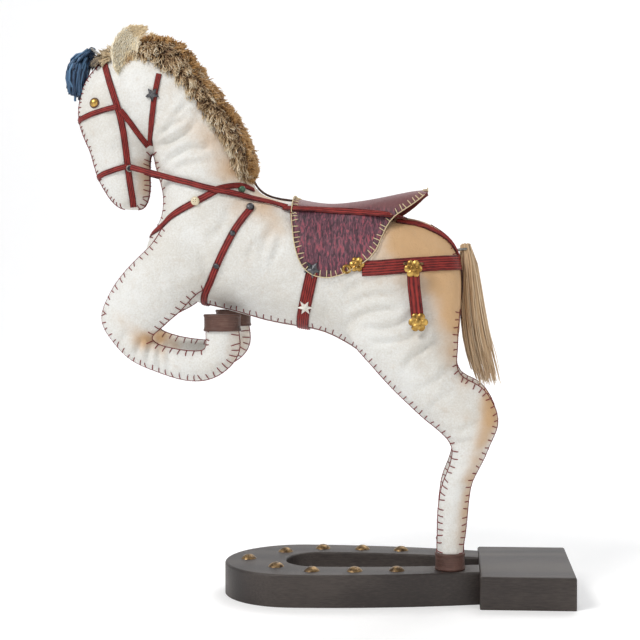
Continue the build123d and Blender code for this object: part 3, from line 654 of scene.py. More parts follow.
# Warm stains: x, z, radius, amount.
STAINS = [
    (76, 240, 26, 0.75), (95, 214, 20, 0.8), (97, 190, 13, 0.75),
    (60, 252, 18, 0.6), (92, 238, 14, 0.5), (-34, 273, 13, 0.7),
    (-52, 267, 10, 0.4), (-58, 296, 14, 0.75), (-72, 316, 12, 0.5),
    (-86, 326, 10, 0.3), (-115, 177.5, 7, 0.75), (-124, 184, 10, 0.3),
    (-104, 172, 5, 0.5), (-119, 298, 9, 0.6), (-120, 282, 9, 0.5),
    (-72, 343, 12, 0.35), (-100, 350, 12, 0.2), (-26, 252, 12, 0.35),
    (121, 140, 8, 0.6), (122, 130, 8, 0.6), (119, 120, 8, 0.55),
    (115, 109, 7, 0.5), (111, 97, 7, 0.5), (108, 85, 7, 0.55),
    (106, 73, 7, 0.55), (105, 61, 7, 0.55), (104.5, 49, 7, 0.5),
    (104, 38, 7, 0.4), (96, 168, 10, 0.45), (104, 152, 8, 0.4),
    (-102, 163, 5, 0.3), (-90, 161, 5, 0.25), (-56, 170, 8, 0.35),
    (-50, 184, 8, 0.5), (30, 240, 20, 0.25), (-135, 196, 9, 0.25)]


def crumple(skin):
    """Presses the folds into the flanks and puffs the leather between.

    Each fold is a valley with a Gaussian section and tapering ends, and it
    sinks the skin along its normal; broad sine waves give the rest life.
    """
    v, n = coords(skin), normals(skin)
    side = np.abs(n[:, 1])
    depth = np.zeros(len(v))
    for i, (x, z, deg, length, width, deep) in enumerate(FOLDS):
        a = math.radians(deg)
        for s in (NEAR, FAR):
            wob = 1.5 * s
            dx, dz = v[:, 0] - x - wob, v[:, 2] - z + wob
            t = dx * math.cos(a) + dz * math.sin(a)
            bend = 0.012 * t * t * (1 if i % 2 else -1)
            d = -dx * math.sin(a) + dz * math.cos(a) - bend
            taper = np.exp(-(2 * t / length) ** 4)
            on = np.clip(v[:, 1] * s / 3, 0, 1) * taper
            depth -= 1.35 * deep * on * np.exp(-(d / width) ** 2)
            depth += 0.8 * deep * on * np.exp(-((d - 1.8 * width)
                                                 / (1.3 * width)) ** 2)
    wave = (np.sin(v[:, 0] * 0.21 + 2 * np.sin(v[:, 2] * 0.13))
            * np.sin(v[:, 2] * 0.19 + v[:, 1] * 0.11))
    small = (np.sin(v[:, 0] * 0.53 + 3 * np.sin(v[:, 2] * 0.31))
             * np.sin(v[:, 2] * 0.47 + 2 * np.sin(v[:, 0] * 0.27)))
    depth += 0.34 * wave + 0.17 * small
    set_coords(skin, v + n * (depth * np.clip(side * 1.6, 0.1, 1))[:, None])
    v = coords(skin)
    stain = np.zeros(len(v))
    for x, z, r, amount in STAINS:
        d2 = (v[:, 0] - x) ** 2 + (v[:, 2] - z) ** 2
        stain += amount * np.exp(-d2 / r ** 2)
    stain += 0.10 * np.clip(v[:, 0] / 100, 0, 1)
    a = skin.data.attributes.new("tint", "FLOAT", "POINT")
    a.data.foreach_set("value", np.clip(stain, 0, 1).astype(np.float32))


skin = stuffed_skin()
crumple(skin)
skin.data.polygons.foreach_set("use_smooth",
                               np.ones(len(skin.data.polygons), bool))
finish(skin, CREAM)
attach(skin, "figure")
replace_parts(skin, *[n for n in nodes if "_skin" in n or "_stuffing" in n
                    or n == "belly_gusset"])
hide = BVHTree.FromPolygons(
    [tuple(p) for p in coords(skin)],
    [tuple(p.vertices) for p in skin.data.polygons])


def nearest(points):
    """The skin's nearest places, normals and distances."""
    hits = [hide.find_nearest(Vector(p)) for p in points]
    return (np.array([h[0] for h in hits]), np.array([h[1] for h in hits]),
            np.array([h[3] for h in hits]))


def cast(origin, direction):
    """Where a ray meets the skin, and the normal there."""
    hit = hide.ray_cast(Vector(origin), Vector(direction))
    if hit[0] is None:
        raise RuntimeError("no skin at %s" % (origin,))
    return np.array(hit[0]), np.array(hit[1])


def flank(x, z, side=NEAR):
    """The skin at x and z, seen from one side, and its normal."""
    return cast((x, side * OUTSIDE, z), (0, -side, 0))


# ---- seams and stitches -----------------------------------------------------
def blanket(path, inward, way, tree, pitch, length, r, reach=90.0,
            wander=0.2, most=6.0):
    """Blanket stitches seen along one direction: legs that lie on a surface.

    Each leg starts at the edge path and runs inward by length across the
    view, and every place of it is dropped onto the surface along way.
    """
    run = np.r_[0, np.cumsum(np.linalg.norm(np.diff(path, axis=0), axis=1))]
    n = max(int(run[-1] / pitch), 2)
    s = (np.arange(n) + 0.5) * run[-1] / n + dice.normal(0, 0.35, n)
    p, w = [np.stack([np.interp(s, run, a[:, c]) for c in range(3)], -1)
            for a in (path, inward)]
    along = np.cross(w, way)
    w = unit(w + along * dice.normal(0, wander, n)[:, None])
    size = length * dice.uniform(0.82, 1.15, n)
    legs = []
    for k in range(n):
        spots = [p[k] + w[k] * size[k] * t for t in (0.12, 0.4, 0.7, 1.0)]
        hits = []
        for q in spots:
            h = tree.ray_cast(Vector(q - way * reach), Vector(way))
            if h[0] is None or h[1].dot(Vector(way)) > -0.02:
                break
            hits.append(np.array(h[0]) + np.array(h[1]) * r * 0.8)
        if len(hits) < 4 or np.linalg.norm(hits[0] - p[k]) > most:
            continue
        hits[-1] = hits[-1] + way * r * 1.6
        legs.append(np.array([p[k]] + hits))
    if not legs:
        return []
    return [bundle(np.array(legs), np.full((len(legs), 5), r), 5)]


def edge_line(path, up, r):
    """The thread that lies along an edge."""
    line = path + up * (r * 0.7)
    line = line + dice.normal(0, 0.05, line.shape)
    return bundle(line[None], np.full((1, len(line)), r * 0.95), 6)


def seam(rows, k0, k1, deg, side):
    """Places of a seam by station and angle, and the way inward."""
    q = spline(rows, 0, number=np.linspace(k0, k1, 200))
    nil = np.zeros(200)
    top = np.stack([q[:, 0], nil, q[:, 1]], -1)
    low = np.stack([q[:, 2], nil, q[:, 3]], -1)
    a = math.radians(deg)
    p = (top + low) / 2 + (top - low) / 2 * math.sin(a)
    y0 = q[:, 5] if q.shape[1] > 5 else nil
    p[:, 1] = side * (y0 + q[:, 4] * math.cos(a))
    return p, (low - top) * (1 if deg > 0 else -1)


def stretches(keep):
    """Slices over the runs of places that are kept, short ones left out."""
    edges = np.flatnonzero(np.diff(np.r_[False, keep, False].astype(int)))
    return [slice(a, b) for a, b in zip(edges[::2], edges[1::2]) if b - a > 6]


def sew(places, inward, side, faces, pitch, length):
    """The thread along one stretch of a seam, and its legs on each face."""
    n = len(places)
    path = spline(places[::4] if n > 12 else places[[0, -1]], max(2 * n, 12))
    path, up, _ = nearest(path)
    at = np.linspace(0, 1, len(path))
    w = np.stack([np.interp(at, np.linspace(0, 1, n), inward[:, c])
                  for c in range(3)], -1)
    groups = [edge_line(path, up, THREAD_R)]
    for face in faces:
        way = np.array([0, -face, 0.0])
        square = unit(np.cross(np.gradient(path, axis=0), way))
        square *= np.sign((square * w).sum(1))[:, None]
        reach = 90.0 if face == side else abs(path[:, 1]).mean() * 0.98
        groups += blanket(path, square, way, hide, pitch, length, THREAD_R,
                          reach)
    return groups


def lay_seams():
    """All the seams of the figure, kept where they reach the surface.

    A row gives form, first and last station, angle round the section, side,
    the faces that the legs of the stitches lie on, and their length.
    """
    runs = []
    head = [(BODY, 0.0, 9.0, 80, 3.4), (BODY, 0.0, 6.2, -87, 2.8)]
    for s in (NEAR, FAR):
        runs += [(rows, a, b, deg, s, (s,), length)
                 for rows, a, b, deg, length in head]
        fore = FORELEG if s == NEAR else FORELEG_FAR
        runs += [(BODY, 9.5, 17.6, -84, s, (s,), 4.2),
                 (BODY, 20.4, 25.2, -76, s, (s,), 3.6),
                 (BODY, 24.6, 28.0, 84, s, (s,), 3.4),
                 (fore, 0.0, 13.5, 90, s, (s, -s), 4.6),
                 (fore, 1.2, 13.5, -90, s, (s, -s), 3.4),
                 (HINDLEG, 2.3, 14.4, 90, s, (s, -s), 3.8),
                 (HINDLEG, 1.0, 14.4, -90, s, (s, -s), 3.3)]
    groups = []
    for rows, k0, k1, deg, side, faces, length in runs:
        p, inward = seam(rows, k0, k1, deg, side)
        q, _, d = nearest(p)
        pitch = HEAD_PITCH if rows is BODY and k1 < 9.5 else STITCH_PITCH
        for a in stretches(d < SEAM_REACH):
            groups += sew(q[a], inward[a], side, faces, pitch, length)
    return groups


v, f, _ = join(*lay_seams())
piece("seam_stitches", v, f, THREAD, closed=False)


# ---- straps -----------------------------------------------------------------
def strap_mesh(name, path, up, width, body="figure", ridges=4, mat=RED):
    """A leather strap: a flat ridged section carried along a path.

    Across the strap the top rises and falls ridges times, and its edges
    are rounded; u runs along it and v across it, in millimetres.
    """
    run, across, rise = frames(path, up)
    x = np.linspace(-1, 1, 4 * ridges + 1)
    top = STRAP_T * (0.80 + 0.20 * np.cos(np.pi * ridges * (x + 1)))
    top[[0, -1]] = STRAP_T * 0.6
    px = np.r_[x * width / 2, [width / 2 * 0.98, -width / 2 * 0.98]]
    py = np.r_[top, [0, 0]]
    v = (path[:, None] + across[:, None] * px[None, :, None]
         + rise[:, None] * py[None, :, None])
    m = len(px)
    s = np.r_[0, np.cumsum(np.linalg.norm(np.diff(path, axis=0), axis=1))]
    uv = np.stack(np.broadcast_arrays(s[:, None], px[None]), -1)
    faces = list(grid_faces(len(path), m, True))
    faces += [np.arange(m)[::-1], (len(path) - 1) * m + np.arange(m)]
    # painted shade for the red leather: 1 on the ridge tops, 0 in the grooves
    # and at the rounded edges, 0.3 underneath
    hollow = np.r_[(top - top.min()) / np.ptp(top), [0.3, 0.3]]
    return piece(name, v, faces, mat, body, uv=uv,
                 tint=np.tile(hollow, len(path)))


def on_skin(points, side=NEAR, wrap=None, lift=0.15):
    """A path over the skin through (x, z[, lift]) places of the flank.

    With wrap=(x, z, direction) it goes on over the middle line to the other
    flank.  Between its places the path is pulled back to the skin.
    """
    near, lifts = [], []
    for row in points:
        near.append(flank(row[0], row[1], side)[0])
        lifts.append(row[2] if len(row) > 2 else 0.0)
    if wrap is not None:
        x, z, d = wrap
        mid, _ = cast((x, side * 0.05, z), d)
        far = [flank(row[0], row[1], -side)[0] for row in points][::-1]
        near, lifts = near + [mid] + far, lifts + [0.0] + lifts[::-1]
    rough = spline(near, 60)
    length = np.linalg.norm(np.diff(rough, axis=0), axis=1).sum()
    n = max(int(length / 1.3), 6)
    path = spline(near, n)
    knots = np.linalg.norm(np.diff(np.array(near), axis=0), axis=1)
    knots = np.r_[0, np.cumsum(knots)] / knots.sum()
    extra = np.interp(np.linspace(0, 1, n), knots, lifts)
    q, nn, _ = nearest(path)
    for _ in range(3):
        nn[1:-1] = unit(nn[:-2] + nn[1:-1] * 2 + nn[2:])
        q[1:-1] = (q[:-2] + q[1:-1] * 2 + q[2:]) / 4
    return q + nn * (lift + extra)[:, None], nn


def both(name, points, width, node):
    """The same strap on the near and the far side."""
    for side, word in SIDES:
        path, up = on_skin(points, side)
        one = node + "_" + word
        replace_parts(strap_mesh(name + "_" + word, path, up, width),
                    one if one in nodes else node)


both("cheek_strap", [(-147.5, 369), (-143, 357), (-139.5, 347),
                     (-136.2, 337.2, 0.5), (-133.5, 325), (-132, 312),
                     (-130.7, 298), (-129.2, 284), (-128.6, 270.5)],
     HEAD_STRAP_W + 0.6, "cheek_strap")
for name, points, wrap, width, node in (
        ("browband", [(-136.5, 338.6, 1.2), (-146, 336.3), (-152, 334.6),
                      (-158, 333), (-163, 331.7)],
         (-250, 330.8, (1, 0, 0)), HEAD_STRAP_W, "browband"),
        ("noseband", [(-130.5, 298, 1.2), (-139, 295.6), (-144.5, 294),
                      (-150, 292.3)],
         (-250, 290.6, (1, 0, 0)), HEAD_STRAP_W, "noseband"),
        ("breast_collar", [(-65, 281), (-70.5, 277.5), (-77.5, 273.8),
                           (-84.5, 270), (-92.5, 266), (-101, 260.5),
                           (-107.5, 255)],
         (-250, 250, (1, 0, 0)), COLLAR_W, "breast_collar"),
        ("front_girth", [(-43, 267.5), (-48.5, 260), (-54.4, 250.5),
                         (-60, 239.5), (-65.5, 228.5), (-71, 217.5),
                         (-76.5, 208)], (-79, 100, (0, 0, 1)), COLLAR_W,
         "front_girth"),
        ("girth", [(0.5, 225), (-1.5, 217), (-3.8, 208), (-6, 200),
                   (-8.2, 191.5)], (-9.5, 100, (0, 0, 1)), GIRTH_W, "girth"),
        ("breeching", [(34, 226.2), (43, 226.6), (53, 227.4), (60.5, 228),
                       (68.8, 228.6), (77, 229.2), (84, 229.7),
                       (90.5, 230.1), (95, 230.3)],
         (250, 230.5, (-1, 0, 0)), BREECH_W, "breeching")):
    path, up = on_skin(points, wrap=wrap)
    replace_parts(strap_mesh(name, path, up, width,
                           ridges=6 if width > 6 else 3), node)
both("jaw_strap", [(-134.5, 336.4, 0.9), (-129, 329), (-123.5, 320.5),
                   (-118, 312.5)], HEAD_STRAP_W, "jaw_straps")
both("throat_strap", [(-107.8, 361), (-109.6, 350), (-111.5, 338),
                      (-113.5, 325), (-115.8, 313.5)], HEAD_STRAP_W,
     "throat_straps")
both("withers_strap", [(-69, 279.5, 0.9), (-63, 282), (-56, 283.6),
                       (-49, 283.6), (-43.5, 281.2)], HEAD_STRAP_W,
     "withers_straps")


def top_strap(name, places, side, mat=RED, lift=0.2, width=REIN_W, ridges=3):
    """A strap along the skin nearest to (x, y, z) places near the top."""
    way = spline(np.array(places) * [1, side, 1], 60)
    q, up, _ = nearest(way)
    return strap_mesh(name, q + up * lift, up, width, ridges=ridges, mat=mat)


for side, word in SIDES:
    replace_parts(top_strap("crupper_" + word, [
        (57, 16, 264), (65, 16, 262.5), (74, 15, 260), (82, 13.5, 255.5),
        (90, 11.5, 249.5), (95.5, 9, 242), (101, 6, 234)], side,
        width=CRUPPER_W, ridges=4), "crupper")
    top_strap("dock_strap_" + word, [
        (103, 3.5, 226), (103, 3.5, 214), (104, 3, 202), (104, 3, 192)],
        side, BROWN, 0.3, 3.6)
# the far rein over the withers gets the dark brown leather in place of the red
# of the reins: painted shade on the far rein
top_strap("rein_over_withers_shaded", [
    (-52, 6, 297), (-42, 6, 286), (-28, 6, 279), (-14, 6, 276),
    (0, 6, 272)], FAR, BROWN, 1.2, 4.0, 2)


def rein(side, word):
    """From the bit across to the neck in the open, then along the neck."""
    start, n0 = flank(-129.3, 297.2, side)
    path, up = on_skin([(-99, 289.2), (-88, 286.2), (-79, 283.6),
                        (-70, 281), (-60, 278.6), (-49.7, 276),
                        (-36, 272.3), (-19, 268)], side, lift=1.5)
    mid_up = np.array([0, side, 0.05])
    free = [start + n0 * 2.0, start * 0.6 + path[0] * 0.4 + mid_up * 2.2]
    whole = spline(np.array(free + list(path[:-2:4]) + [path[-1]]), 110)
    ups = spline(np.array([n0, mid_up] + list(up[:-2:4]) + [up[-1]]), 110)
    ob = strap_mesh("rein_" + word, whole, unit(ups), REIN_W, ridges=3)
    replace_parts(ob, "rein_" + word)


for side, word in SIDES:
    rein(side, word)


# ---- the saddle -------------------------------------------------------------
def saddle_rows():
    """Grid of the saddle: columns along X, each an upside-down U."""
    xs = np.linspace(SADDLE_EDGE[0][0], SADDLE_EDGE[-1][0], 96)
    edge = spline(SADDLE_EDGE, 200)
    low = np.interp(xs, edge[:, 0], edge[:, 1])
    ridge = spline(SADDLE_TOP, 100)
    top = np.interp(xs, ridge[:, 0], ridge[:, 1])
    rows = []
    for x, z_low, z_top in zip(xs, low, top):
        side = []
        for z in (216, 224, 232, 240, 247, 252):
            p, n = flank(x, z, NEAR)
            side.append((abs(p[1]) + SADDLE_GAP / max(abs(n[1]), 0.6), z))
        y1, z1 = side[-1]
        rise = z_top - z1
        side += [(y1 * 0.93, z1 + rise * 0.38), (y1 * 0.66, z1 + rise * 0.78),
                 (y1 * 0.30, z1 + rise * 0.965), (0.0, z_top)]
        half = spline(side, 240)
        half = half[half[:, 1] >= min(z_low, z_top - 1.0)]
        half = spline(half[:: max(len(half) // 24, 1)], 60) if len(
            half) > 30 else spline([half[0], half[-1]], 60)
        half[-1, 0] = 0.0
        full = np.concatenate([half * [-1, 1], (half * [1, 1])[::-1][1:]])
        rows.append(np.stack([np.full(len(full), x), full[:, 0],
                              full[:, 1]], -1))
    return np.array(rows)


grid = saddle_rows()
for _ in range(2):
    grid[1:-1] = (grid[:-2] + 2 * grid[1:-1] + grid[2:]) / 4
nu, nv = grid.shape[:2]
span = np.cumsum(np.linalg.norm(np.diff(grid, axis=1, prepend=grid[:, :1]),
                                axis=2), axis=1)
uv = np.stack([grid[..., 0], span - span[:, -1:] / 2], -1)
faces = grid_faces(nu, nv, False)
across = np.cross(grid[1, 1] - grid[0, 1], grid[0, 2] - grid[0, 1])
if across[1] > 0:
    faces = faces[:, ::-1]
saddle = make("saddle_leather", grid, list(faces), uv)
finish(saddle, PLUM_BACK, PLUM)
thick = saddle.modifiers.new("thickness", "SOLIDIFY")
thick.thickness, thick.offset = SADDLE_T * MM, 1.0
thick.material_offset = 1
thick.material_offset_rim = 0
apply_all(saddle)
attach(saddle, "figure")
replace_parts(saddle, "saddle", "saddle_pad")

saddle_tree = BVHTree.FromPolygons(
    [tuple(p) for p in coords(saddle)],
    [tuple(p.vertices) for p in saddle.data.polygons])


def on_top(x, z, side=NEAR):
    """The outermost place of saddle or skin seen from one side."""
    start, way = Vector((x, side * OUTSIDE, z)), Vector((0, -side, 0))
    hits = [h for h in (saddle_tree.ray_cast(start, way),
                        hide.ray_cast(start, way)) if h[0] is not None]
    best = max(hits, key=lambda h: side * h[0].y)
    return np.array(best[0]), np.array(best[1])


def saddle_stitches():
    """Cream blanket stitches round both flaps, the front and the cantle."""
    groups = []
    for side, k in ((NEAR, 0), (FAR, -1)):
        path = spline(grid[::3, k] + [0, side * 0.9, 0], 260)
        run = unit(np.gradient(path, axis=0))
        way = np.array([0, -side, 0.0])
        inward = unit(np.cross(run, way))
        inward *= np.sign((inward * ([26, 0, 262] - path)).sum(1))[:, None]
        groups.append(edge_line(path, -way + 0 * path, THREAD_R))
        groups += blanket(path, inward, way, saddle_tree,
                          SADDLE_STITCH_PITCH, 4.4, THREAD_R, wander=0.1)
    for row, step in ((0, 1.0), (-1, -1.0)):
        path = spline(grid[row, ::3] + [0, 0, 1.0], 200)
        way = np.array([0, 0, -1.0])
        inward = np.zeros_like(path) + [step, 0, 0]
        groups.append(edge_line(path, -way + 0 * path, THREAD_R))
        groups += blanket(path, inward, way, saddle_tree,
                          SADDLE_STITCH_PITCH, 4.2, THREAD_R, wander=0.1)
    v, f, _ = join(*groups)
    piece("saddle_stitches", v, f, CREAM_THREAD, closed=False)


saddle_stitches()


def saddle_strap(side, word):
    """The worn strap over the saddle, in line with rein and crupper."""
    spots = [(-21, 267.6), (-10, 266.9), (0, 266.5), (12, 265.7),
             (24, 265.2), (38, 264.2), (51, 263.0), (62, 260.6)]
    hits = [on_top(x, z, side) for x, z in spots]
    path = spline(np.array([p + n * 0.8 for p, n in hits]), 60)
    up = unit(spline(np.array([n for p, n in hits]), 60))
    ob = strap_mesh("saddle_strap_" + word, path, up, REIN_W + 0.6, ridges=3)
    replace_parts(ob, "saddle_straps")


for side, word in SIDES:
    saddle_strap(side, word)


# ---- buttons, stars and flowers ---------------------------------------------
def basis(n, spin=0.0):
    """Two directions across a normal, the second one nearly upright."""
    n = unit(np.asarray(n, float))
    a = unit(np.cross([0, 0, 1.0], n))
    b = np.cross(n, a)
    c, s = math.cos(spin), math.sin(spin)
    return a * c + b * s, b * c - a * s, n


def relief(name, centre, n, outline, height, mat, body="figure", spin=0.0,
           lift=0.0, rings=9):
    """A cast ornament: its radius is outline(angle), its height height(r).

    Rings of points shrink from the outline to the middle; r runs from 0 at
    the middle to 1 at the outline, and a flat back closes it.
    """
    a, b, n = basis(n, spin)
    th = np.arange(72) * 2 * np.pi / 72
    out = outline(th)
    r = np.linspace(1, 0.04, rings)[:, None]
    h = height(r, th[None])
    p = (np.asarray(centre) + n * lift
         + a * (r * out * np.cos(th))[..., None]
         + b * (r * out * np.sin(th))[..., None] + n * h[..., None])
    foot = (np.asarray(centre) + a * (out * np.cos(th))[:, None]
            + b * (out * np.sin(th))[:, None] - n * 0.6)
    v = np.concatenate([foot[None], p])
    faces = list(grid_faces(rings + 1, 72, True))
    faces += [np.arange(72)[::-1], rings * 72 + np.arange(72)]
    return piece(name, v, faces, mat, body)


def bead(high, foot=0.0):
    """The height of a round bead or button, high in the middle."""
    def height(r, th):
        return foot + high * np.sqrt(np.clip(1 - r ** 2, 0, 1)) + 0 * th
    return height


def star_shape(points, big, small):
    """A star: the radius falls in straight lines from tip to hollow."""
    def outline(th):
        k = np.abs(((th * points / np.pi) % 2) - 1)
        half = np.pi / points
        a = k * half
        return (big * small * math.sin(half)
                / (big * np.sin(a) + small * np.sin(half - a)))
    return outline


def petals(count, big, deep):
    def outline(th):
        return big * (1 - deep + deep * np.abs(np.cos(th * count / 2)) ** 0.6)
    return outline


def faceted(r, th):
    return 1.9 * (1 - r) + 0.45


def put_star(name, x, z, mat, points=5, big=5.0, small=2.2, side=NEAR,
             lift=1.2):
    """A faceted star on the flank at x and z, with one point up."""
    p, n = on_top(x, z, side)
    return relief(name, p, n, star_shape(points, big, small), faceted, mat,
                  spin=math.pi / 2, lift=lift)


def flower_parts(name, centre, n, size, body, lift=1.2):
    """A gold flower of six petals with a raised beaded middle."""
    def leaf(r, th):
        return (0.35 + 1.0 * np.sin(np.pi * np.clip(r, 0, 1)) ** 0.8
                * (0.45 + 0.55 * np.abs(np.cos(th * 3))))
    flower = relief(name, centre, n, petals(6, size / 2, 0.26), leaf, GOLD,
                    body, lift=lift, rings=12)
    relief(name + "_knob", centre, n, petals(6, size * 0.19, 0.15),
           bead(0.9, 1.6), GOLD, body, lift=lift)
    return flower


def pin_ring(name, centre, n, big, small, mat, lift=0.4):
    """A round ring lying on the surface: a torus about its normal."""
    a, b, n = basis(n)
    t = np.arange(32) * 2 * np.pi / 32
    s = np.arange(10) * 2 * np.pi / 10
    radial = (a * np.cos(t)[:, None] + b * np.sin(t)[:, None])
    v = (np.asarray(centre) + n * lift + radial[:, None] * (
        big + small * np.cos(s))[None, :, None]
        + n * (small * np.sin(s))[None, :, None])
    i, j = np.meshgrid(np.arange(32), np.arange(10), indexing="ij")
    faces = np.stack([i * 10 + j, ((i + 1) % 32) * 10 + j,
                      ((i + 1) % 32) * 10 + (j + 1) % 10,
                      i * 10 + (j + 1) % 10], -1).reshape(-1, 4)
    piece(name, v, list(faces), mat)


def round_of(size):
    return lambda th: size / 2 + 0 * th


stars, buttons = [], []
for side, word in SIDES:
    stars.append(put_star("cheek_star_" + word, -111.8, 346.6, PEWTER,
                          side=side, big=5.2, small=2.5))
    p, n = flank(-130.0, 296.5, side)
    buttons.append(relief("bit_ring_button_" + word, p, n, round_of(4.4),
                          bead(1.5), PEWTER, lift=1.6))
    pin_ring("bit_ring_" + word, p, n, 2.0, 0.5, STEEL, 2.3)
    p, n = flank(-80.5, 272.6, side)
    relief("collar_button_" + word, p, n, round_of(6.0), bead(1.5), BONE,
           lift=1.3)
    # four dark brown dots stand for the button's holes: painted shade in the
    # holes
    a, b, up = basis(n)
    for i, (du, dv) in enumerate(((-1, -1), (1, -1), (1, 1), (-1, 1))):
        q = p + (a * du + b * dv) * 0.75 + up * 1.5
        relief("collar_button_hole_%s_%d" % (word, i), q, n, round_of(0.9),
               bead(1.5), BROWN)
    p, n = flank(-50.6, 281.0, side)
    relief("green_bead_" + word, p, n, round_of(4.8), bead(2.2), GREEN,
           lift=1.2)
    p, n = flank(-43.5, 268.2, side)
    relief("girth_stud_" + word, p, n, round_of(5.4), bead(1.5), PEWTER,
           lift=1.8)
    for i, (x, z) in enumerate(((-54.4, 250.5), (-65.5, 228.4))):
        p, n = flank(x, z, side)
        relief("girth_bead_%s_%d" % (word, i), p, n, round_of(4.0),
               bead(1.7), PEWTER, lift=1.0)
    put_star("snowflake_" + word, -5.6, 200.4, ENAMEL, 6, 5.6, 2.4, side)
    put_star("saddle_star_" + word, 0.4, 225.8, PEWTER, 5, 6.4, 2.9, side,
             lift=0.2)
    p, n = on_top(30.6, 229.2, side)
    flower_parts("saddle_flower_" + word, p, n, 10.6, "figure", 0.3)
    p, n = on_top(23.6, 226.0, side)
    pin_ring("saddle_knot_" + word, p, n, 2.3, 1.0, GOLD, 0.6)
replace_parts(stars[0], "star_conchos", "saddle_conchos")
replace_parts(buttons[0], "bit_buttons", "harness_buttons")


# ---- eyes -------------------------------------------------------------------
for side, word in SIDES:
    p, n = flank(-153.2, 341.6, side)
    eye = relief("bead_eye_" + word, p, n, round_of(6.4), bead(2.6), GOLD,
                 lift=0.1, rings=14)
    pin_ring("eye_rim_" + word, p, n, 3.3, 0.45, BROWN, 0.3)
    if side == NEAR:
        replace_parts(eye, "bead_eyes")


# ---- pendants ---------------------------------------------------------------
for side, word in SIDES:
    low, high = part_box("pendant_" + word)
    y = side * max(abs(low.y), abs(high.y)) / MM
    drop = [(68.8, y - side * 1.6, high.z / MM - 1.2),
            (69.2, y - side * 1.5, 216), (70.6, y - side * 1.5, 203),
            (72.0, y - side * 1.5, 190)]
    path = spline(np.array(drop), 40)
    up = np.zeros_like(path) + [0, side, 0.0]
    strap = strap_mesh("pendant_strap_" + word, path, up, PENDANT_W,
                       "pendant_" + word, ridges=3)
    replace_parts(strap, "pendant_" + word)
    face = np.array([0, side, 0.0])
    y -= side * 0.6
    upper = flower_parts("pendant_top_flower_" + word, (68.8, y, 226.2),
                         face, 12.2, "pendant_" + word, 0.3)
    flower_parts("pendant_low_flower_" + word, (72.2, y, 190.4), face, 13.2,
                 "pendant_" + word, 0.3)
    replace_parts(upper, "pendant_flowers_" + word)


# ---- cuffs and soles --------------------------------------------------------
def cuff(kind, rows, side, word, rise=0.0):
    """A leather sleeve round a leg end, thicker at its rolled rims.

    Its wall leaves the leg's ellipse by the same amount all round, and it
    swells by half a millimetre next to the two rims.  Its height is the CAD
    cuff's, raised by rise.
    """
    low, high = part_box(kind + "_cuff_near")
    q = spline(rows, 300, even=False)
    zs = np.linspace(low.z / MM + rise, high.z / MM + rise, 16)
    order = np.argsort((q[:, 1] + q[:, 3]))
    mid_z = (q[order, 1] + q[order, 3]) / 2
    xa, xb, w, y0 = [np.interp(zs, mid_z, q[order, c]) for c in (0, 2, 4, 5)]
    half, x0 = np.abs(xb - xa) / 2, (xa + xb) / 2
    t = np.linspace(0, 1, 16)
    wall = 1.1 + 0.55 * np.exp(-((t - 0.08) / 0.07) ** 2) + 0.55 * np.exp(
        -((t - 0.92) / 0.07) ** 2)
    th = np.arange(48) * 2 * np.pi / 48

    def ring(extra):
        return np.stack([x0[:, None] + (half + extra)[:, None] * np.cos(th),
                         (side * y0)[:, None]
                         + (w + extra)[:, None] * np.sin(th),
                         np.repeat(zs[:, None], 48, 1)], -1)

    v = np.concatenate([ring(wall), ring(wall * 0 - 0.9)[::-1]])
    faces = grid_faces(33, 48, True) % (32 * 48)
    ob = piece("%s_cuff_leather_%s" % (kind, word), v, list(faces), BROWN)
    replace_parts(ob, "%s_cuff_%s" % (kind, word))


for side, word in SIDES:
    cuff("fore", FORELEG[-3:], side, word,
         FAR_FOOT_RISE if side == FAR else 0.0)
    cuff("hind", HINDLEG[-4:], side, word)


# ---- fur, hair and yarn -----------------------------------------------------
def strands(name, roots, ways, lengths, radius, mat, body, droop, curl,
            tints, places=5, clump=0, spread=0.6, shadow=0.35):
    """Hair: tapered tubes that leave their roots and sag with weight.

    Each place of a strand steps on along its way, turns down by droop and
    wavers by curl; strands of one clump lean towards the clump's own way.
    """
    n = len(roots)
    tone, k = np.zeros(n), None
    if clump:
        pick = dice.integers(0, n, clump)
        k = np.argmin(((roots[:, None] - roots[pick][None]) ** 2).sum(-1), 1)
        ways = unit(ways * (1 - spread) + ways[pick][k] * spread)
        tone = dice.normal(0, 0.17, clump)[k]
    step = (lengths / (places - 1))[:, None]
    way = ways.copy()
    path = [roots]
    waver = dice.normal(0, curl, (n, 3))
    for i in range(places - 1):
        way = unit(way + [0, 0, -droop / places] + waver / places
                   + dice.normal(0, curl * 0.35, (n, 3)))
        path.append(path[-1] + way * step)
    path = np.stack(path, 1)
    t = np.linspace(0, 1, places)
    if clump:
        tips = path[pick][k, -1]
        pull = np.clip(dice.normal(0.55, 0.2, n), 0, 0.9)
        path += ((tips - path[:, -1]) * pull[:, None])[:, None] * (
            t ** 1.3)[None, :, None]
    taper = radius * (1 - 0.82 * t ** 1.5)
    size = taper[None] * dice.uniform(0.75, 1.25, n)[:, None]
    own = tints + tone * 0.6
    tint = np.clip(own[:, None] + (t[None] - 0.5) * shadow, 0, 1)
    v, f, t = bundle(path, size, 3, tint)
    return piece(name, v, f, mat, body, closed=False, tint=t)


def form_roots(rows, n, u, deg, grow):
    """Random roots on both sides of a form, with the way out of it."""
    uu = dice.uniform(*u, n)
    dd = dice.uniform(*deg, n)
    s = np.where(dice.random(n) < 0.5, NEAR, FAR)
    p = form_point(rows, uu, dd, s, grow)
    q = form_point(rows, uu, dd, s, grow + 2.0)
    return p, unit(q - p), uu, dd


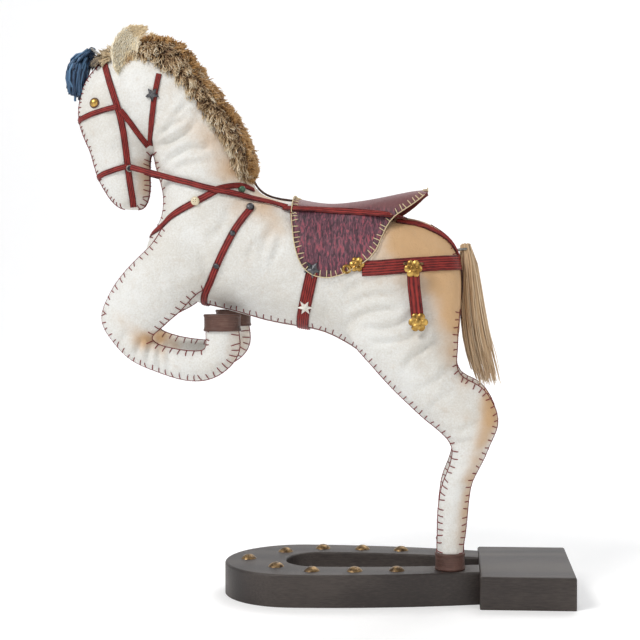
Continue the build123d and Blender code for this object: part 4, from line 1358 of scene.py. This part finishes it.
def mane():
    """Base form, shaggy side fur and a rust-coloured outer fringe."""
    v, f, _ = form(MANE, 90, 36, grow=-2.2)
    base = piece("mane_base", v, f, FUR, tint=np.full(len(v), 0.16))
    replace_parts(base, "mane_fur")
    n = 6500
    p, out, u, deg = form_roots(MANE, n, (0.0, 0.995), (-89, 66), -2.5)
    back = form_point(MANE, np.clip(u + 0.05, 0, 1), deg, 1.0) - form_point(
        MANE, np.clip(u - 0.05, 0, 1), deg, 1.0)
    back[:, 1] = 0
    way = unit(out * 0.8 + unit(back) * 0.55 + [-0.05, 0, -0.35])
    low = np.clip((40 - deg) / 120, 0, 1)
    shade = 0.36 + 0.30 * low + dice.normal(0, 0.10, n)
    strands("mane_side_fur", p, way, dice.uniform(5.5, 9, n) + 4.0 * low,
            0.62, FUR, "figure", droop=0.9, curl=0.6, tints=shade, clump=230,
            spread=0.6, shadow=0.8)
    n = 5000
    q, out, _, _ = form_roots(MANE, n, (0.0, 1.0), (-60, 90), -2.4)
    strands("mane_under_fur", q, unit(out + [0.1, 0, -0.3]),
            dice.uniform(2.5, 4.5, n), 0.7, FUR, "figure", droop=0.4,
            curl=0.9, tints=dice.normal(0.34, 0.12, n), places=3)
    n = 3600
    p, out, _, _ = form_roots(MANE, n, (0.0, 1.0), (46, 90), -2.5)
    way = unit(out * 1.1 + [0.2, 0, -0.1])
    shade = dice.normal(0.42, 0.12, n)
    strands("mane_edge_fur", p, way, dice.uniform(5, 8.5, n), 0.66, RUST,
            "figure", droop=1.0, curl=0.8, tints=shade, clump=100,
            spread=0.6, shadow=0.7)


mane()


def forelock():
    """Grey fur on the brow and the blue yarn tassel hung in front."""
    n = 1500
    d = unit(dice.normal(0, 1, (n, 3)))
    d[:, 2] = np.abs(d[:, 2]) * 0.6 + 0.1
    d = unit(d)
    centre = np.array([-147, 0, 373])
    roots = centre + d * [8.5, 10.5, 6.5]
    hits = nearest(roots)[0]
    way = unit(d + [-0.75, 0, -0.1])
    fur = strands("brow_fur", roots * 0.35 + hits * 0.65, way,
                  dice.uniform(5, 10, n), 0.5, GREY_FUR, "figure", 1.2, 0.5,
                  tints=np.clip((roots[:, 0] + 155.5) / 13
                                + dice.normal(0, 0.12, n), 0, 1),
                  clump=90, spread=0.6)
    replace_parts(fur, "forelock_fur")
    n = 260
    across = in_disc(n)
    low = np.stack([-171 + across[:, 0] * 5.5 + dice.normal(0, 0.8, n),
                    across[:, 1] * 8.5, 351.5 + dice.normal(0, 1.8, n)
                    - across[:, 0] * 4], -1)
    mid = np.stack([-169.5 + across[:, 0] * 7.0, across[:, 1] * 9.0,
                    np.full(n, 370.0)], -1)
    top = np.stack([-161 + across[:, 0] * 3.2, across[:, 1] * 4.0,
                    380.5 + across[:, 0] * 2], -1)
    t = np.linspace(0, 1, 7)[None, :, None]
    path = (top[:, None] * (1 - t) ** 2 + (2 * mid - (top + low) / 2)[:, None]
            * 2 * t * (1 - t) + low[:, None] * t ** 2)
    path += dice.normal(0, 0.45, path.shape)
    size = np.full((n, 7), 0.72) * dice.uniform(0.8, 1.2, n)[:, None]
    shade = np.clip(dice.normal(0.42, 0.32, n), 0, 1)[:, None]
    v, f, tint = bundle(path, size, 6, shade + 0 * size)
    tassel = piece("yarn_tassel", v, f, YARN, "forelock", False, tint=tint)
    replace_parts(tassel, "forelock_tassel")
    t = np.linspace(0, 4 * 2 * np.pi, 120)
    turn = np.stack([-160.2 + 2.6 * np.cos(t), 3.4 * np.sin(t),
                     375.2 + t * 0.16], -1)
    v, f, tint = bundle(turn[None], np.full((1, 120), 0.42), 6,
                        np.full((1, 120), 0.2))
    piece("tassel_binding", v, f, YARN, "forelock", False, tint=tint)


forelock()


def tail():
    """Blond fibre from the red binding down to a ragged end."""
    n = 620
    c = in_disc(n, 0.05)
    knots = [(104.2, 243.5, 2.4, 3.4), (106.4, 228, 5.4, 6.4),
             (107.6, 210, 6.8, 8.2), (109.4, 194, 7.8, 9.0),
             (111.7, 178, 8.9, 9.3), (114.8, 164, 9.4, 8.8),
             (119.0, 149, 8.4, 7.0)]
    path = np.stack([np.stack([x + c[:, 0] * rx, c[:, 1] * ry,
                               np.full(n, z * 1.0)], -1)
                     for x, z, rx, ry in knots], 1)
    path += np.cumsum(dice.normal(0, 0.34, path.shape), 1)
    keep = dice.uniform(0.72, 1.03, n)
    keep[: n // 6] = dice.uniform(0.4, 0.75, n // 6)
    s = np.linspace(0, 1, 8)[None] * keep[:, None] * 6
    k = np.clip(s.astype(int), 0, 5)
    f = (s - k)[..., None]
    rows = np.arange(n)[:, None]
    path = path[rows, k] * (1 - f) + path[rows, k + 1] * f
    t = np.linspace(0, 1, 8)
    size = (0.62 * (1 - 0.75 * t ** 2))[None] * dice.uniform(
        0.7, 1.2, n)[:, None]
    # each fibre is darker near the binding and lighter towards its end: painted
    # shade where the fibres bunch at the top
    shade = dice.normal(0.5, 0.18, n)[:, None] + (t - 0.4)[None] * 0.3
    v, f, tint = bundle(path, size, 4, np.clip(shade, 0, 1))
    fibre = piece("tail_fibre", v, f, BLOND, "tail", False, tint=tint)
    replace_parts(fibre, "tail_hair")


tail()


def ear(side, word):
    """A soft ear: a cupped leaf of hide, furry inside, bent backwards.

    Its rows run from the head to the tip; each row is an arc that opens to
    the side, wide in the middle and closed to a point.
    """
    spine = spline([(-131, side * 13.0, 360), (-131.5, side * 17.5, 369),
                    (-131, side * 18.5, 379), (-127.5, side * 16.5, 388.5),
                    (-120.5, side * 13.5, 393.2)], 26)
    t = np.linspace(0, 1, 26)
    half = 9.0 * np.sin(np.pi * np.clip(t * 0.82 + 0.17, 0, 1)) ** 0.8 + 0.5
    half[-1] = 0.4
    open_way = unit(np.array([0.45, side * 1.0, -0.15]))
    run = unit(np.gradient(spine, axis=0))
    across = unit(np.cross(run, open_way))
    out = unit(np.cross(across, run))
    th = np.linspace(-1.15, 1.15, 17)
    v = (spine[:, None] + across[:, None] * (np.sin(th) * half[:, None])[
        ..., None] - out[:, None] * (np.cos(th) * half[:, None] * 0.55)[
        ..., None])
    ob = make("ear_leather_" + word, v, list(grid_faces(26, 17, False)))
    finish(ob, CREAM)
    mod = ob.modifiers.new("thickness", "SOLIDIFY")
    mod.thickness, mod.offset = 1.0 * MM, 0
    apply_all(ob)
    outward(ob)
    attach(ob, "figure")
    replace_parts(ob, "ear_" + word)
    n = 1500
    i, j = dice.integers(1, 26, n), dice.integers(0, 17, n)
    roots = v[i, j] + out[i] * 0.6
    way = unit(out[i] * 0.30 + run[i] * 1.0 + dice.normal(0, 0.15, (n, 3)))
    # the fur is darker in a patch low on one side of the cup: painted shadow
    # inside the ear; the rows next to the tip are a darker gold
    shade = np.clip(0.97 - 0.75 * np.exp(-((i - 5) / 3.5) ** 2)
                    * np.exp(-((j - 11) / 2.5) ** 2) - 0.25 * (i > 19)
                    + dice.normal(0, 0.06, n), 0, 1)
    strands("ear_fur_" + word, roots, way, dice.uniform(2.5, 5.0, n), 0.42,
            EAR_FUR, "figure", 0.3, 0.25, tints=shade, shadow=0.05)


for side, word in SIDES:
    ear(side, word)


SOLE_Z = 192.1 + FAR_FOOT_RISE


def far_sole():
    """The sole of the far forefoot, lifted with its leg."""
    t = np.arange(40) * 2 * np.pi / 40
    x0, _, x1, _, wide, y = FORELEG_FAR[-1]
    rings = [np.stack([(x0 + x1) / 2 + k * (x1 - x0) / 2 * np.cos(t),
                       FAR * y + k * wide * np.sin(t), 0 * t + high], -1)
             for k, high in ((0.93, SOLE_Z), (0.93, SOLE_Z + 2.8),
                             (0.85, SOLE_Z + 3.3))]
    faces = list(grid_faces(3, 40, True))
    faces += [np.arange(40)[::-1], 80 + np.arange(40)]
    piece("fore_sole_far", np.concatenate(rings), faces, BROWN)


far_sole()


# ---- what stays as in the CAD model -----------------------------------------
kept = {"horseshoe_board": WOOD, "heel_block": WOOD, "heel_dowels": WOOD,
        "dome_tacks": BRASS, "hoof_screws": STEEL, "leg_wires": STEEL,
        "hoof_soles": BROWN, "tail_staple": STEEL, "forelock_staple": STEEL,
        "pendant_staples": BRASS, "tail_binding": RED}
for name, mat in kept.items():
    ob = nodes[name]
    finish(ob, mat)
    ob.data.polygons.foreach_set("material_index",
                                 np.zeros(len(ob.data.polygons), np.int32))
if "run" not in nodes["tail_binding"].data.uv_layers:
    nodes["tail_binding"].data.uv_layers.new(name="run")


# ---- room, lights and camera ------------------------------------------------
def studio():
    """A pale sweep, a broad soft key from above and in front, and fills."""
    x = np.linspace(-4.0, 4.0, 40)
    y = np.r_[np.linspace(-6.0, 0.75, 20),
              0.75 + 0.6 * np.sin(np.linspace(0.05, 1, 14) * np.pi / 2),
              np.full(8, 1.35)]
    z = np.r_[np.zeros(20), 0.6 - 0.6 * np.cos(np.linspace(0.05, 1, 14)
                                               * np.pi / 2),
              np.linspace(0.7, 2.6, 8)]
    v = np.stack([np.repeat(x[:, None], len(y), 1),
                  np.repeat(y[None], 40, 0), np.repeat(z[None], 40, 0)], -1)
    paper = plain("paper", (0.93, 0.93, 0.93), (0.91, 0.91, 0.91), 0.85, 3)
    glow = paper.node_tree.nodes["Principled BSDF"].inputs
    glow["Emission Color"].default_value = (1, 1, 1, 1)
    glow["Emission Strength"].default_value = 0.16
    floor = make("paper_sweep", v / MM, list(grid_faces(40, len(y), False)))
    finish(floor, paper)
    world = bpy.data.worlds.new("air")
    bpy.context.scene.world = world
    world.use_nodes = True
    back = world.node_tree.nodes["Background"]
    back.inputs[0].default_value = (0.95, 0.97, 1.0, 1)
    back.inputs[1].default_value = 0.44
    bpy.context.scene.view_settings.view_transform = "Standard"
    for name, at, aim, size, power, colour in (
            ("key", (-0.85, -0.85, 1.35), (0, 0, 0.2), 0.6, 15,
             (1.0, 0.985, 0.965)),
            ("fill", (1.1, -1.0, 0.6), (0, 0, 0.2), 1.1, 3.2,
             (1.0, 0.96, 0.90)),
            ("back", (0.35, 0.9, 1.3), (0, 0, 0.25), 0.9, 7, (1, 1, 1))):
        lamp = bpy.data.lights.new(name, "AREA")
        lamp.shape, lamp.size, lamp.energy, lamp.color = (
            "DISK", size, power, colour)
        ob = bpy.data.objects.new(name, lamp)
        bpy.context.scene.collection.objects.link(ob)
        ob.location = at
        ob.rotation_euler = (Vector(aim) - Vector(at)).to_track_quat(
            "-Z", "Y").to_euler()
    eye = bpy.data.cameras.new("view")
    eye.lens, eye.sensor_width, eye.shift_x = 71.9, 36.0, -0.10
    ob = bpy.data.objects.new("view", eye)
    bpy.context.scene.collection.objects.link(ob)
    ob.location = (0.097, -0.895, 0.212)
    ob.rotation_euler = (math.radians(90 - 1.35), 0, math.radians(3.2))
    bpy.context.scene.camera = ob


studio()
